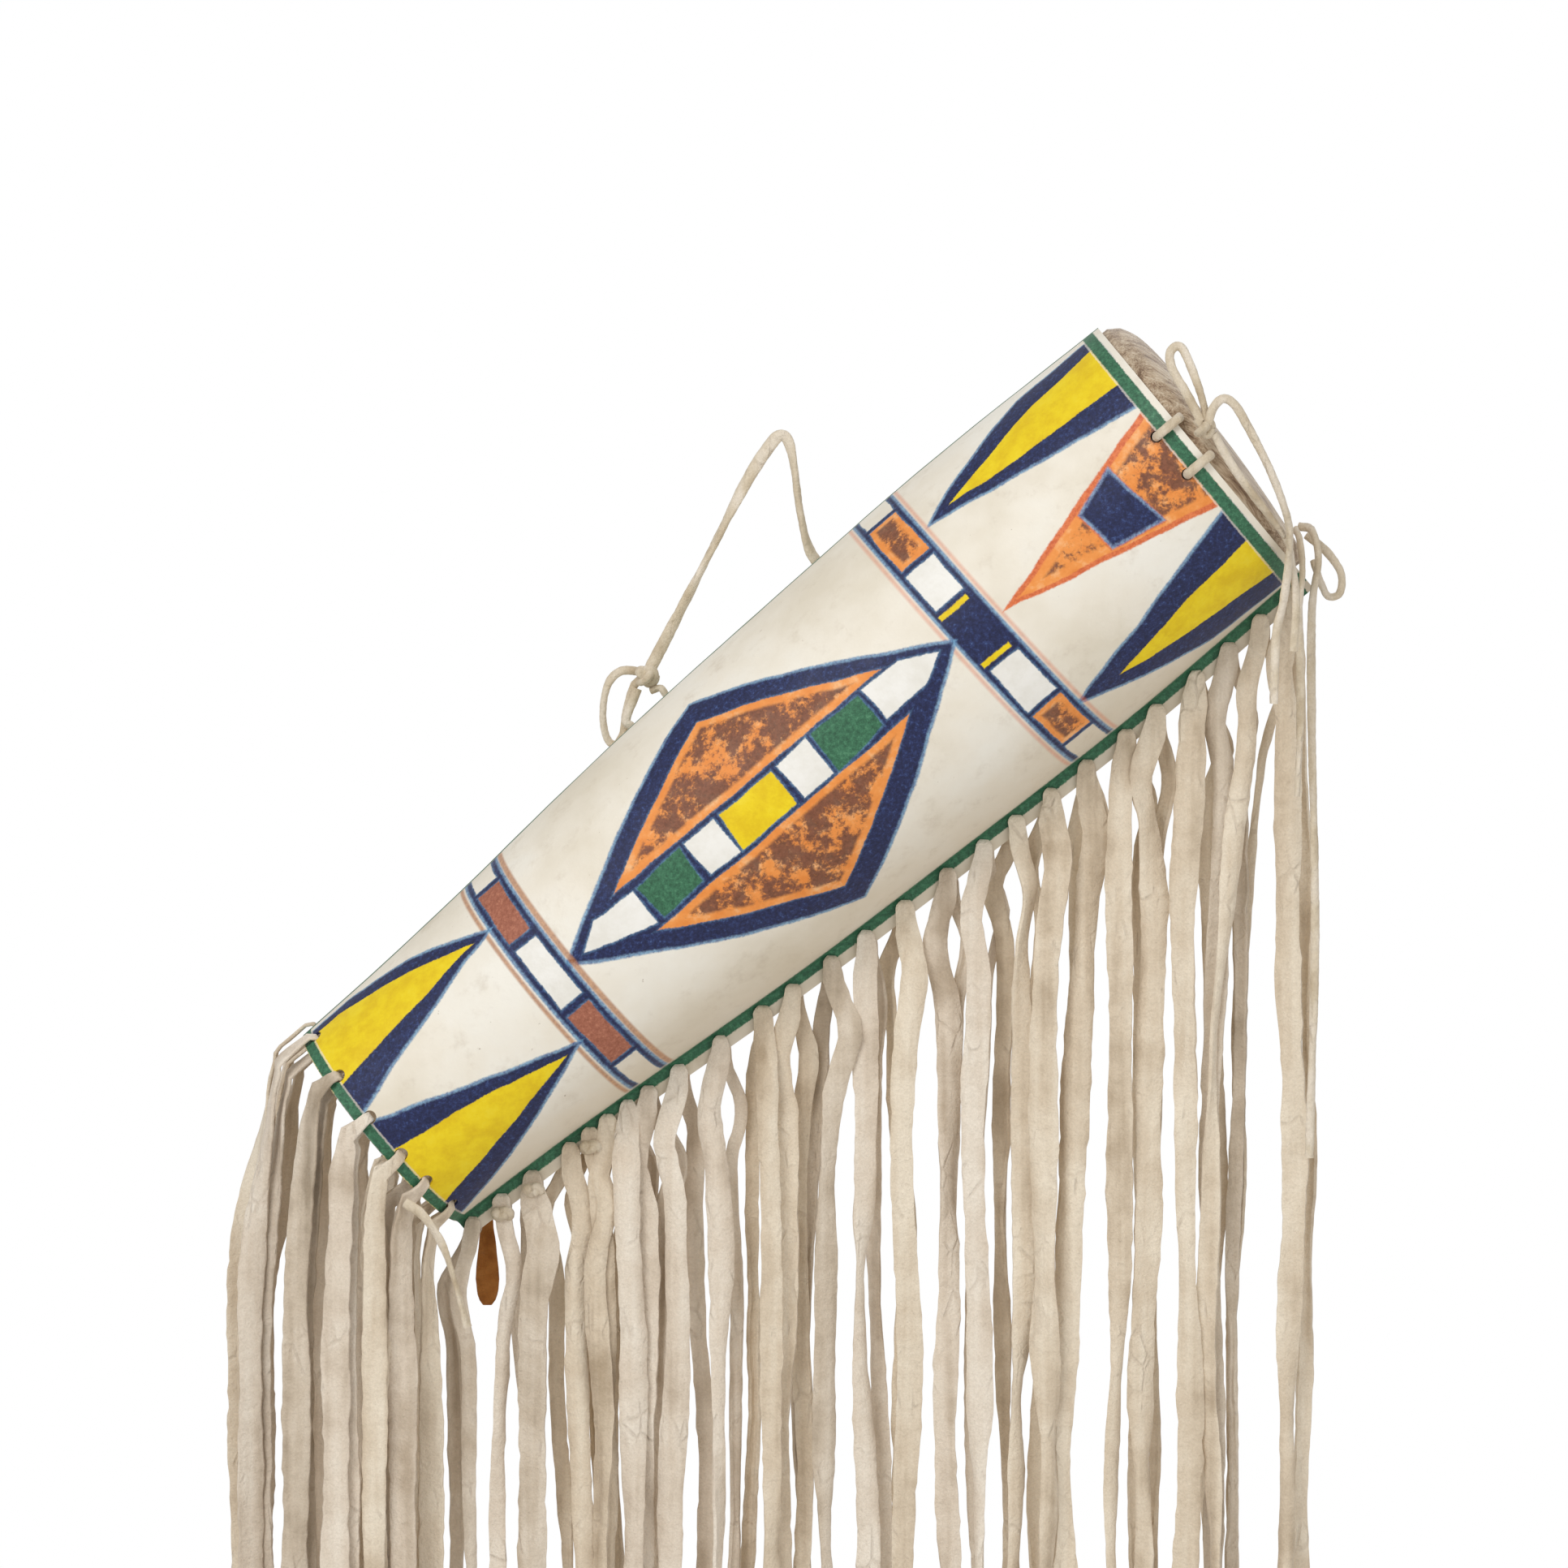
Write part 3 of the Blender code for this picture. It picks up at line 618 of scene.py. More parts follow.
rings = np.array([[(x, y, up) for x, y in seam_section(up)] for up in np.linspace(0, CASE_LENGTH, 150)])
around = rings.shape[1]
sheet_mesh = bpy.data.meshes.new("rolled_sheet")
corners = [
    (k * around + i, k * around + i + 1, (k + 1) * around + i + 1, (k + 1) * around + i)
    for k in range(len(rings) - 1) for i in range(around - 1)
]
sheet_mesh.from_pydata([tuple(CASE_FRAME @ Vector(p)) for p in rings.reshape(-1, 3)], [], corners)
sheet_mesh.update()

# The shallow waves of dried hide, then the wall, then the punches.
waves_tree, given = making_tree("dried_waves", Depth="Float", Material="Material")
spot = shown(node(waves_tree, "GeometryNodeInputPosition"))
wave = remap(waves_tree, noise(waves_tree, spot, 14.0, 2.0, 0.5, 2.0), 0.25, 0.75, -1.0, 1.0, "LINEAR")
ripple = remap(waves_tree, noise(waves_tree, spot, 55.0, 2.0, 0.5, 5.0), 0.25, 0.75, -0.22, 0.22, "LINEAR")
depth = times(waves_tree, added(waves_tree, wave, ripple), given["Depth"])
offset = vector_node(waves_tree, "SCALE", shown(node(waves_tree, "GeometryNodeInputNormal")))
waves_tree.links.new(depth, offset.node.inputs["Scale"])
waved = shown(node(waves_tree, "GeometryNodeSetPosition", given["Geometry"], None, None, offset))
end_tree(waves_tree, waved, given["Material"])

punch_tree, given = making_tree("punched_holes", Sides="Int", Depth="Float", Material="Material")
punch = node(punch_tree, "GeometryNodeMeshCylinder")
punch.fill_type = "NGON"
punch_tree.links.new(given["Sides"], punch.inputs["Vertices"])
punch.inputs["Radius"].default_value = 1.0
punch_tree.links.new(given["Depth"], punch.inputs["Depth"])
aim = named_vector(punch_tree, "aim")
width = named_vector(punch_tree, "bore")
turned = node(punch_tree, "FunctionNodeAlignRotationToVector")
turned.axis = "Z"
punch_tree.links.new(aim, turned.inputs["Vector"])
placed = node(punch_tree, "GeometryNodeInstanceOnPoints")
punch_tree.links.new(given["Geometry"], placed.inputs["Points"])
punch_tree.links.new(punch.outputs["Mesh"], placed.inputs["Instance"])
punch_tree.links.new(turned.outputs["Rotation"], placed.inputs["Rotation"])
punch_tree.links.new(width, placed.inputs["Scale"])
end_tree(punch_tree, placed.outputs[0], given["Material"])


def punched(piece, holes, depth):
    """Cuts round holes through a piece: (centre, direction, radius) in the case frame."""
    line = line_mesh(
        "hole_centres", [CASE_FRAME @ centre for centre, _, _ in holes],
        aim=[CASE_FRAME.to_3x3() @ aim for _, aim, _ in holes], bore=[(r, r, 1.0) for _, _, r in holes],
    )
    punches = made_by(punch_tree, "punches", line, Sides=20, Depth=depth)
    cut = piece.modifiers.new("holes", "BOOLEAN")
    cut.object = punches
    cut.solver = "EXACT"
    bpy.context.view_layer.update()
    mesh = bpy.data.meshes.new_from_object(piece.evaluated_get(bpy.context.evaluated_depsgraph_get()))
    name = piece.name
    bpy.data.objects.remove(piece)
    bpy.data.objects.remove(punches)
    return finished(name, mesh, 42)


# The hide and its paint: cream rawhide with faint blotches, and figures laid on with a bone brush
# in earth colours, each with a grainy edge. The same figures are on the front and back panels.
painted_hide, tree, shader, place = new_finish("painted_rawhide")
inverse = CASE_FRAME.inverted()
axis_parts = []
for row in inverse[:3]:
    along = vector_node(tree, "DOT_PRODUCT", place, tuple(row[:3]))
    axis_parts.append(times_plus(tree, along, 1000.0, row[3] * 1000.0))
seamward, backward, upward = axis_parts
share = math_node(tree, "DIVIDE", upward, CASE_LENGTH * 1000)
radius_curve = node(tree, "ShaderNodeFloatCurve", 1.0, share)
curve = radius_curve.mapping.curves[0]
for k in range(11):
    if 0 < k < 10:
        curve.points.new(k / 10, tube_radius(k / 10 * CASE_LENGTH) * 10)
curve.points[0].location = (0.0, tube_radius(0) * 10)
curve.points[-1].location = (1.0, tube_radius(CASE_LENGTH) * 10)
radius_curve.mapping.update()
local_radius = times(tree, shown(radius_curve), 100.0)
angle = math_node(tree, "ARCTAN2", seamward, math_node(tree, "ABSOLUTE", backward))
across = times(tree, angle, local_radius)
past_seam = minus(tree, seamward, local_radius)
past_top = times_plus(tree, local_radius, math.pi / 2, across)

hand = node(tree, "ShaderNodeTexNoise")
tree.links.new(place, hand.inputs["Vector"])
hand.inputs["Scale"].default_value = 42.0
hand.inputs["Detail"].default_value = 2.0
bristle = node(tree, "ShaderNodeTexNoise")
tree.links.new(place, bristle.inputs["Vector"])
bristle.inputs["Scale"].default_value = 750.0
bristle.inputs["Detail"].default_value = 3.0
bristle.inputs["Roughness"].default_value = 0.75
brushed = shown(node(tree, "ShaderNodeCombineXYZ", across, upward, 1.0))
for source, amount in ((hand, 3.0), (bristle, 1.5)):
    centred = vector_node(tree, "SUBTRACT", source.outputs["Color"], (0.5, 0.5, 0.5))
    centred = vector_node(tree, "MULTIPLY", centred, (amount, amount, 0.0))
    brushed = vector_node(tree, "ADD", brushed, centred)


def inside(corners):
    """How far outside a convex figure's nearest side a place is, in millimetres: below zero inside."""
    turn = sum(a[0] * b[1] - b[0] * a[1] for a, b in zip(corners, corners[1:] + corners[:1]))
    ring = corners if turn > 0 else corners[::-1]
    far = None
    for (xa, ya), (xb, yb) in zip(ring, ring[1:] + ring[:1]):
        size = math.hypot(xb - xa, yb - ya)
        out = ((yb - ya) / size, (xa - xb) / size)
        side = vector_node(tree, "DOT_PRODUCT", brushed, (out[0], out[1], -(out[0] * xa + out[1] * ya)))
        side = side.node.outputs["Value"]
        far = side if far is None else math_node(tree, "MAXIMUM", far, side)
    return far


def stroke(value, middle, half):
    """How far outside a painted line a place is."""
    return minus(tree, math_node(tree, "ABSOLUTE", minus(tree, value, middle)), half)


def covered(far, soft=0.45, grow=0.0):
    """1 where a figure covers the hide, 0 beyond its edge."""
    return remap(tree, far, grow - soft, grow + soft, 1.0, 0.0)


blotch = noise(tree, place, 13.0, 4.0, 0.6)
smudge = noise(tree, place, 60.0, 4.0, 0.7)
fleck = noise(tree, place, 330.0, 2.0, 0.6)
density = noise(tree, place, 520.0, 4.0, 0.8)
paint_patch = noise(tree, place, 90.0, 4.0, 0.72)
hide_colour = ramp(
    tree, blotch, (0.33, srgb(230, 220, 200)), (0.50, srgb(241, 233, 217)), (0.66, srgb(245, 240, 228))
)
smear = remap(tree, smudge, 0.53, 0.78, 0.0, 0.36)
hide_colour = mixed(tree, smear, hide_colour, srgb(196, 180, 158))
hide_colour = mixed(tree, remap(tree, fleck, 0.74, 0.80, 0.0, 0.55), hide_colour, srgb(150, 126, 100))
# Painted shade: the hide is darkened towards the laced seam on the case's lower side, where shade falls. From
# here on, hide_colour carries this painted shade, and the one below, into the cream cells, the border gaps
# and the plain inside.
painted_seam_shade = remap(tree, past_seam, -34.0, 2.0, 0.0, 0.34)
hide_colour = mixed(tree, painted_seam_shade, hide_colour, srgb(196, 174, 140))
# Painted shade: the back half of the case, turned away from the lights, is darkened.
behind = remap(tree, backward, -6.0, 30.0, 0.0, 0.25)
hide_colour = mixed(tree, behind, hide_colour, srgb(206, 186, 152))

NAVY = ramp(
    tree, density, (0.36, srgb(22, 28, 62)), (0.52, srgb(33, 41, 83)), (0.62, srgb(46, 62, 112)),
    (0.72, srgb(80, 106, 154))
)
NAVY_EDGE = ramp(tree, density, (0.36, srgb(48, 84, 140)), (0.60, srgb(120, 168, 200)))
YELLOW = ramp(
    tree, paint_patch, (0.36, srgb(232, 196, 2)), (0.58, srgb(244, 214, 14)), (0.74, srgb(246, 220, 44))
)
GREEN = ramp(tree, density, (0.36, srgb(42, 86, 62)), (0.55, srgb(60, 116, 84)), (0.74, srgb(92, 148, 112)))
ORANGE = ramp(
    tree, paint_patch, (0.36, srgb(236, 142, 62)), (0.54, srgb(244, 156, 78)), (0.70, srgb(250, 190, 132))
)
ORANGE_LINE = ramp(tree, density, (0.38, srgb(206, 96, 52)), (0.62, srgb(236, 132, 78)))
ROSE_BROWN = ramp(
    tree, density, (0.34, srgb(146, 84, 62)), (0.56, srgb(174, 108, 84)), (0.74, srgb(204, 142, 110))
)
BROWN = ramp(tree, density, (0.36, srgb(74, 44, 42)), (0.60, srgb(116, 72, 60)))
WHITE = ramp(tree, smudge, (0.35, srgb(236, 232, 222)), (0.60, srgb(246, 243, 236)))
TAN_LINE = ramp(tree, density, (0.36, srgb(160, 98, 60)), (0.66, srgb(206, 148, 98)))
coarse_mottle = noise(tree, place, 92.0, 3.0, 0.6)
fine_mottle = noise(tree, place, 430.0, 4.0, 0.75)
mottle = times_plus(tree, minus(tree, fine_mottle, 0.5), 0.62, coarse_mottle)
painted = hide_colour


def lay(far, colour, soft=0.45, strength=1.0, grow=0.0):
    """Lays one colour over the painting so far."""
    global painted
    cover = covered(far, soft, grow)
    if strength < 1.0:
        cover = times(tree, cover, strength)
    painted = mixed(tree, cover, painted, colour)


def navy(far):
    lay(far, NAVY_EDGE, 0.6, 0.9, 0.6)
    lay(far, NAVY, 0.8, 1.0, -0.9)


def over_navy(far, colour):
    lay(far, NAVY_EDGE, 0.9, 0.6, 0.7)
    lay(far, colour, 0.4)


def orange_and_brown(far, inset=3.0, amount=0.50):
    """Orange with brown daubed on its middle in broken patches."""
    global painted
    lay(far, ORANGE, 0.4)
    well_in = remap(tree, far, -inset - 2.2, -inset, 1.0, 0.0)
    daub = remap(tree, mottle, amount - 0.10, amount + 0.08)
    lay_on = times(tree, well_in, daub)
    painted = mixed(tree, times(tree, lay_on, 0.88), painted, BROWN)


# Mouth end: two long yellow points edged in navy, and an orange one between them with a navy block.
for outer, inner in (
    (
        ((-102, 512), (-97, 463), (-66, 403), (-58, 391), (-46, 454), (-33, 512)),
        ((-88, 512), (-81, 468), (-62, 408), (-57, 440), (-52, 512))
    ),
    (
        ((28, 512), (38, 477), (51, 431), (62, 394), (98, 464), (108, 512)),
        ((47, 512), (56, 467), (63, 411), (71, 437), (84, 512))
    ),
):
    navy(inside(list(outer)))
    lay(inside(list(inner)), YELLOW, 0.35)
orange_point = [(-34, 512), (0, 396), (28, 512)]
lay(inside(orange_point), ORANGE_LINE, 0.5)
orange_and_brown(inside([(-30.5, 512), (0, 405), (25, 512)]), 3.2, 0.49)
lay(inside([(-22.5, 478), (16.5, 483), (11, 454), (-13, 451)]), ORANGE_LINE, 0.6, 0.8)
navy(inside([(-21, 477), (15, 482), (10, 455.5), (-12, 452.5)]))

# Upper band: a navy band round the case with white, orange and cream cells, and faint orange lines.
# It climbs a little towards the seam.
BAND_SLOPE = 0.045
BAND_CELLS = (372.6, 389.6)
banded = times_plus(tree, across, -BAND_SLOPE, upward)
for middle, half in ((395.4, 1.0), (366.6, 1.0)):
    lay(stroke(banded, middle, half), ORANGE_LINE, 0.9, 0.45)


def tilted(left, right, low, high):
    """A cell of the upper band."""
    corners = ((left, low), (right, low), (right, high), (left, high))
    return [(x, level + BAND_SLOPE * x) for x, level in corners]


def orange_cell(left, right, amount):
    """An orange cell of the upper band, with brown on its middle."""
    over_navy(inside(tilted(left, right, *BAND_CELLS)), ORANGE)
    orange_and_brown(inside(tilted(left + 0.5, right - 0.5, 373, 389.2)), 1.6, amount)


navy(stroke(banded, 381.1, 12.2))
over_navy(inside(tilted(-150, -90, 372.8, 389.4)), hide_colour)
orange_cell(-86, -48.5, 0.47)
over_navy(inside(tilted(-44.5, -21, *BAND_CELLS)), WHITE)
for middle in (-16.5, 13.5):
    lay(inside(tilted(middle - 1.4, middle + 1.4, 371.2, 388.6)), YELLOW, 0.4)
over_navy(inside(tilted(18, 47, *BAND_CELLS)), WHITE)
orange_cell(50.5, 80, 0.44)
over_navy(inside(tilted(83.5, 150, *BAND_CELLS)), hide_colour)

# Middle: a tall navy diamond holding two orange and brown wedges and a column of small cells.
navy(inside([(-4, 370), (-74, 250), (-3, 127), (75, 257)]))
for wedge in ([(-16, 334), (-59, 249), (-15, 167)], [(9, 331), (12, 172), (58, 254)]):
    lay(inside(wedge), NAVY_EDGE, 0.9, 0.5, 0.6)
    orange_and_brown(inside(wedge), 2.6, 0.47)
for cell, colour in (
    ([(-11, 151), (-10, 175), (9, 174), (3, 152), (-2, 138)], WHITE),
    ([(-10, 177.5), (9, 178.5), (8, 204.5), (-12, 205.5)], GREEN),
    ([(-12, 208.5), (8, 209.5), (8, 227), (-12, 226.5)], WHITE),
    ([(-12, 230), (8, 228.5), (8, 262.5), (-12, 262.5)], YELLOW),
    ([(-12, 266), (8, 267), (8, 285), (-14, 285.5)], WHITE),
    ([(-14, 288.5), (9, 287.5), (5, 318), (-13, 317.5)], GREEN),
    ([(-14, 320.5), (4, 321.5), (3, 346), (-5, 360), (-14, 343)], WHITE),
):
    over_navy(inside(cell), colour)

# Lower band: navy with white and rose-brown cells, between tan lines.
for middle, half in ((131.0, 1.5), (105.4, 1.1)):
    lay(stroke(upward, middle, half), TAN_LINE, 0.8, 0.8)
brushed_up = times_plus(tree, minus(tree, bristle.outputs[0], 0.5), 1.4, upward)
navy(stroke(brushed_up, 118.4, 10.4))
for left, right, colour in (
    (-150, -70, hide_colour), (-66, -29, ROSE_BROWN), (-24, 11.5, WHITE), (16.5, 52, ROSE_BROWN),
    (56, 150, hide_colour)
):
    over_navy(inside([(left, 112), (right, 112), (right, 124.8), (left, 124.8)]), colour)

# Foot: two more yellow points edged in navy, their tips on the lower band.
for outer, inner in (
    (
        ((-43, 109), (-66, 66), (-77, 30), (-77, -4), (-8, -4)),
        ((-43, 98), (-57, 63), (-70, 22), (-70, -4), (-27.5, -4))
    ),
    (((30.5, 109), (-9, -4), (80, -4)), ((32, 99), (21, 60), (10.5, -4), (57, -4))),
):
    navy(inside(list(outer)))
    lay(inside(list(inner)), YELLOW, 0.35)

# Green lines border each panel: along the mouth, the foot, the seam and the top.
green_lines = stroke(times_plus(tree, minus(tree, bristle.outputs[0], 0.5), 1.6, upward), 509.6, 3.0)
for value, middle, half in ((upward, 2.8, 2.6), (past_seam, 2.3, 2.7), (past_top, 6.6, 2.6)):
    rough = times_plus(tree, minus(tree, bristle.outputs[0], 0.5), 1.4, value)
    green_lines = math_node(tree, "MINIMUM", green_lines, stroke(rough, middle, half))
border_gap = covered(green_lines, 0.3, 0.9)
painted = mixed(tree, times(tree, border_gap, 0.55), painted, hide_colour)
lay(green_lines, GREEN, 0.35)

# Paint is on the outside only; inside and on its cut edges the hide is plain and a little darker.
distance = math_node(
    tree, "SQRT", added(tree, times(tree, seamward, seamward), times(tree, backward, backward))
)
outer_side = remap(tree, minus(tree, distance, local_radius), -1.35, -1.05)
plain_inside = mixed(tree, 0.55, hide_colour, srgb(176, 148, 108))
painted = mixed(tree, outer_side, plain_inside, painted)
tree.links.new(painted, shader.inputs["Base Color"])
shine = remap(tree, smudge, 0.3, 0.7, 0.46, 0.62, "LINEAR")
tree.links.new(shine, shader.inputs["Roughness"])
shader.inputs["Specular IOR Level"].default_value = 0.38
shader.inputs["Sheen Weight"].default_value = 0.04
hide_grain = added(tree, times(tree, smudge, 1.2), times(tree, density, 0.20))
grain(tree, shader, hide_grain, 0.00045)

rawhide_tube = made_by(
    waves_tree, "painted_tube", sheet_mesh, thickness=HIDE, crease=42, Depth=0.00032, Material=painted_hide
)
back = Vector((0, 1, 0))
tube_holes = [(
    Vector((tube_radius(mm / 1000) + SEAM_HOLE_OUT, 0, mm / 1000)), back, SEAM_HOLE_RADIUS
) for mm in SEAM_HOLES_MM]
for degrees in RIM_ANGLES:
    out = rim_direction(degrees)
    tube_holes.append(
        (out * (tube_radius(RIM_HOLE_UP) - HIDE / 2) + Vector((0, 0, RIM_HOLE_UP)), out, HOLE_RADIUS)
    )
for hole_share in LOOP_HOLES:
    up = hole_share * CASE_LENGTH
    centre = Vector((-math.sqrt(tube_radius(up) ** 2 - LOOP_HOLE_BACK**2), LOOP_HOLE_BACK, 0))
    tube_holes.append((centre + Vector((0, 0, up)), centre.normalized(), LOOP_HOLE_RADIUS))
for across_mouth in STITCH_ACROSS:
    low = CASE_LENGTH - STITCH_DOWN
    tube_holes.append((Vector((across_mouth, -tube_radius(low), low)), back, THONG / 2 + 0.0008))
rawhide_tube = punched(rawhide_tube, tube_holes, 0.018)
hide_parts("rawhide_tube")
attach(rawhide_tube, "case")

# ---------------------------------------------------------------------------------------------
# The bottom disc: a shallow cup of the same rawhide set in the foot, open side out, its edge punched
# with the tube so that the same fringe strips lace both together.
# ---------------------------------------------------------------------------------------------
def turned_sheet(name, outline, steps, fall=None):
    """A closed shape turned about the case's axis, its outline running from axis to axis."""
    mesh = bpy.data.meshes.new(name)
    points = []
    for radius, up in outline[1:-1]:
        for k in range(steps):
            angle = 2 * math.pi * k / steps
            x, y = radius * math.sin(angle), -radius * math.cos(angle)
            points.append((x, y, up + (fall(x, y) if fall else 0.0)))
    count = len(outline) - 2
    first, last = len(points), len(points) + 1
    for radius, up in (outline[0], outline[-1]):
        points.append((0.0, 0.0, up + (fall(0.0, 0.0) if fall else 0.0)))
    faces = []
    for k in range(steps):
        nxt = (k + 1) % steps
        faces.append((first, nxt, k))
        faces.append((last, (count - 1) * steps + k, (count - 1) * steps + nxt))
        for i in range(count - 1):
            faces.append((i * steps + k, i * steps + nxt, (i + 1) * steps + nxt, (i + 1) * steps + k))
    mesh.from_pydata([tuple(CASE_FRAME @ Vector(p)) for p in points], [], faces)
    mesh.update()
    return mesh


def outward(mesh):
    """Turns a closed mesh's faces outwards."""
    work = bmesh.new()
    work.from_mesh(mesh)
    bmesh.ops.remove_doubles(work, verts=work.verts, dist=1e-6)
    bmesh.ops.recalc_face_normals(work, faces=work.faces)
    work.to_mesh(mesh)
    work.free()
    return mesh


plain_hide, tree, shader, place = new_finish("plain_rawhide")
tone = noise(tree, place, 30.0, 4.0, 0.6)
fibres = noise(tree, vector_node(tree, "MULTIPLY", place, (260.0, 260.0, 60.0)), 1.0, 3.0, 0.7)
colour = ramp(
    tree, tone, (0.34, srgb(198, 172, 130)), (0.54, srgb(222, 204, 170)), (0.70, srgb(234, 222, 198))
)
colour = mixed(tree, remap(tree, fibres, 0.55, 0.8, 0.0, 0.35), colour, srgb(168, 138, 98))
tree.links.new(colour, shader.inputs["Base Color"])
shader.inputs["Roughness"].default_value = 0.52
grain(tree, shader, added(tree, tone, times(tree, fibres, 0.4)), 0.0004)

inner = CUP_RADIUS - CUP_HIDE
cup_outline = [(0.0, CUP_DEPTH)] + [(CUP_RADIUS * k / 6, CUP_DEPTH) for k in range(1, 6)]
cup_outline += [(CUP_RADIUS - 0.0030, CUP_DEPTH), (CUP_RADIUS - 0.0008, CUP_DEPTH - 0.0012)]
cup_outline += [(CUP_RADIUS, CUP_DEPTH - 0.0035), (CUP_RADIUS, 0.0016), (CUP_RADIUS - 0.0005, 0.0010)]
cup_outline += [
    (inner + 0.0005, 0.0010), (inner, 0.0016), (inner, CUP_DEPTH - 0.0042),
    (inner - 0.0012, CUP_DEPTH - CUP_HIDE)
]
cup_outline += [
    (inner * k / 6, CUP_DEPTH - CUP_HIDE) for k in range(5, 0, -1)
] + [(0.0, CUP_DEPTH - CUP_HIDE)]


def disc_fall(x, y):
    """The disc's face dries a little hollow and uneven."""
    reach = min(1.0, math.hypot(x, y) / CUP_RADIUS)
    return 0.0012 * (1 - reach**2) * math.sin(60 * x + 1) * math.cos(45 * y)


disc_mesh = outward(turned_sheet("bottom_cup", cup_outline, 96, disc_fall))
disc_mesh.materials.append(plain_hide)
bottom_disc = finished("foot_disc", disc_mesh, 42)
disc_holes = []
for degrees in RIM_ANGLES:
    out = rim_direction(degrees)
    disc_holes.append((out * (CUP_RADIUS - CUP_HIDE / 2) + Vector((0, 0, RIM_HOLE_UP)), out, HOLE_RADIUS))
bottom_disc = punched(bottom_disc, disc_holes, 0.008)
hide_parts("bottom_disc")
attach(bottom_disc, "case")

# ---------------------------------------------------------------------------------------------
# The lid: a domed round of hide with its short hair left on, dropped in the mouth by its turned-down
# edge. The hair lies one way, tan over brown.
# ---------------------------------------------------------------------------------------------
LID_HIDE = 0.0018
LID_SKIRT = 0.0080
LID_PROFILE = ((0, 0.0130), (0.30, 0.0128), (0.62, 0.0120), (0.84, 0.0104), (0.95, 0.0076), (1, 0.0030))

haired, tree, shader, place = new_finish("hair_on_hide")
hair_lie = (CASE_FRAME.to_3x3() @ Vector((0.93, 0.36, -0.10))).normalized()
hair_up = CASE_FRAME.to_3x3() @ Vector((0.0, 0.0, 1.0))
along, across_a, across_b = (
    vector_node(tree, "DOT_PRODUCT", place, tuple(way)).node.outputs["Value"] for way in (
        hair_lie, hair_up, hair_lie.cross(hair_up)
    )
)
sway = times(tree, minus(tree, noise(tree, place, 45.0, 2.0), 0.5), 0.010)
hair_place = shown(node(
    tree, "ShaderNodeCombineXYZ",
    times(tree, added(tree, across_a, sway), 1500.0),
    times(tree, added(tree, across_b, sway), 1500.0),
    times(tree, along, 75.0),
))
hairs = noise(tree, hair_place, 1.0, 3.0, 0.65)
locks = noise(tree, vector_node(tree, "MULTIPLY", hair_place, (0.16, 0.16, 0.45)), 1.0, 2.0, 0.6)
coat = added(tree, times(tree, hairs, 0.5), times(tree, locks, 0.5))
colour = ramp(
    tree, coat, (0.34, srgb(112, 86, 66)), (0.44, srgb(160, 134, 108)), (0.53, srgb(200, 178, 150)),
    (0.64, srgb(226, 210, 186)),
)
tree.links.new(colour, shader.inputs["Base Color"])
shader.inputs["Roughness"].default_value = 0.62
shader.inputs["Sheen Weight"].default_value = 0.25
shader.inputs["Sheen Roughness"].default_value = 0.4
shader.inputs["Specular IOR Level"].default_value = 0.35
grain(tree, shader, coat, 0.0011)


def lid_rise(x, y):
    """The dome leans: it stands steeper on the upper side and falls away towards the seam."""
    lean = -0.0022 * math.sin(math.pi * max(-1.0, min(1.0, x / LID_RADIUS)) * 0.5)
    reach = min(1.0, math.hypot(x, y) / LID_RADIUS)
    dent = 0.0007 * math.sin(70 * x + 50 * y) * (1 - reach**2)
    return (lean if reach < 0.97 else lean * 0.3) * (1 - reach**6) * 1.2 + dent


fine = [(0.0, 0.0130)]
for (ra, ua), (rb, ub) in zip(LID_PROFILE, LID_PROFILE[1:]):
    steps = 5 if rb <= 0.9 else 3
    fine += [(ra + (rb - ra) * k / steps, ua + (ub - ua) * k / steps) for k in range(1, steps + 1)]
rises = np.array(fine)
for _ in range(2):
    rises[1:-1, 1] = (rises[:-2, 1] + 2 * rises[1:-1, 1] + rises[2:, 1]) / 4
lid_outline = [(LID_RADIUS * r, CASE_LENGTH + u) for r, u in rises]
lid_outline += [(LID_RADIUS, CASE_LENGTH - 0.0025), (LID_RADIUS, CASE_LENGTH - LID_SKIRT)]
lid_outline += [(LID_RADIUS - LID_HIDE, CASE_LENGTH - LID_SKIRT)]
lid_outline += [
    (max(LID_RADIUS * r - LID_HIDE * r**2, 0.0), CASE_LENGTH + u - LID_HIDE) for r, u in rises[::-1]
]
lid_mesh = outward(turned_sheet("lid_dome", lid_outline, 120, lid_rise))
lid_mesh.materials.append(haired)
lid_piece = finished("hide_lid", lid_mesh, 50)
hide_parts("lid")
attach(lid_piece, "lid")

# ---------------------------------------------------------------------------------------------
# The long fringe: strips of softened buckskin, each doubled through one seam hole so that one strand
# hangs before the seam and one behind. Cut by hand, so each wanders, turns, cups and varies in width.
# ---------------------------------------------------------------------------------------------
STRIP_THICK = 0.0019
STRIP_WIDTH = 0.0132
STRIP_TOP = 0.0090
STRAND_LENGTH = 0.560
ASIDE = {1: -0.0030, 19: -0.0030, 20: -0.0140, 21: -0.0050, 22: -0.0030, 24: -0.0080, 25: -0.0195, 26: 0.0030}
NARROWER = {1: 0.0084, 2: 0.0094, 24: 0.0104, 25: 0.0112}
TOP_SHIFT = {1: -0.0044, 2: 0.0024}
PARTNER_SIDE = {1: -1, 2: 1, 12: 1, 14: 1}

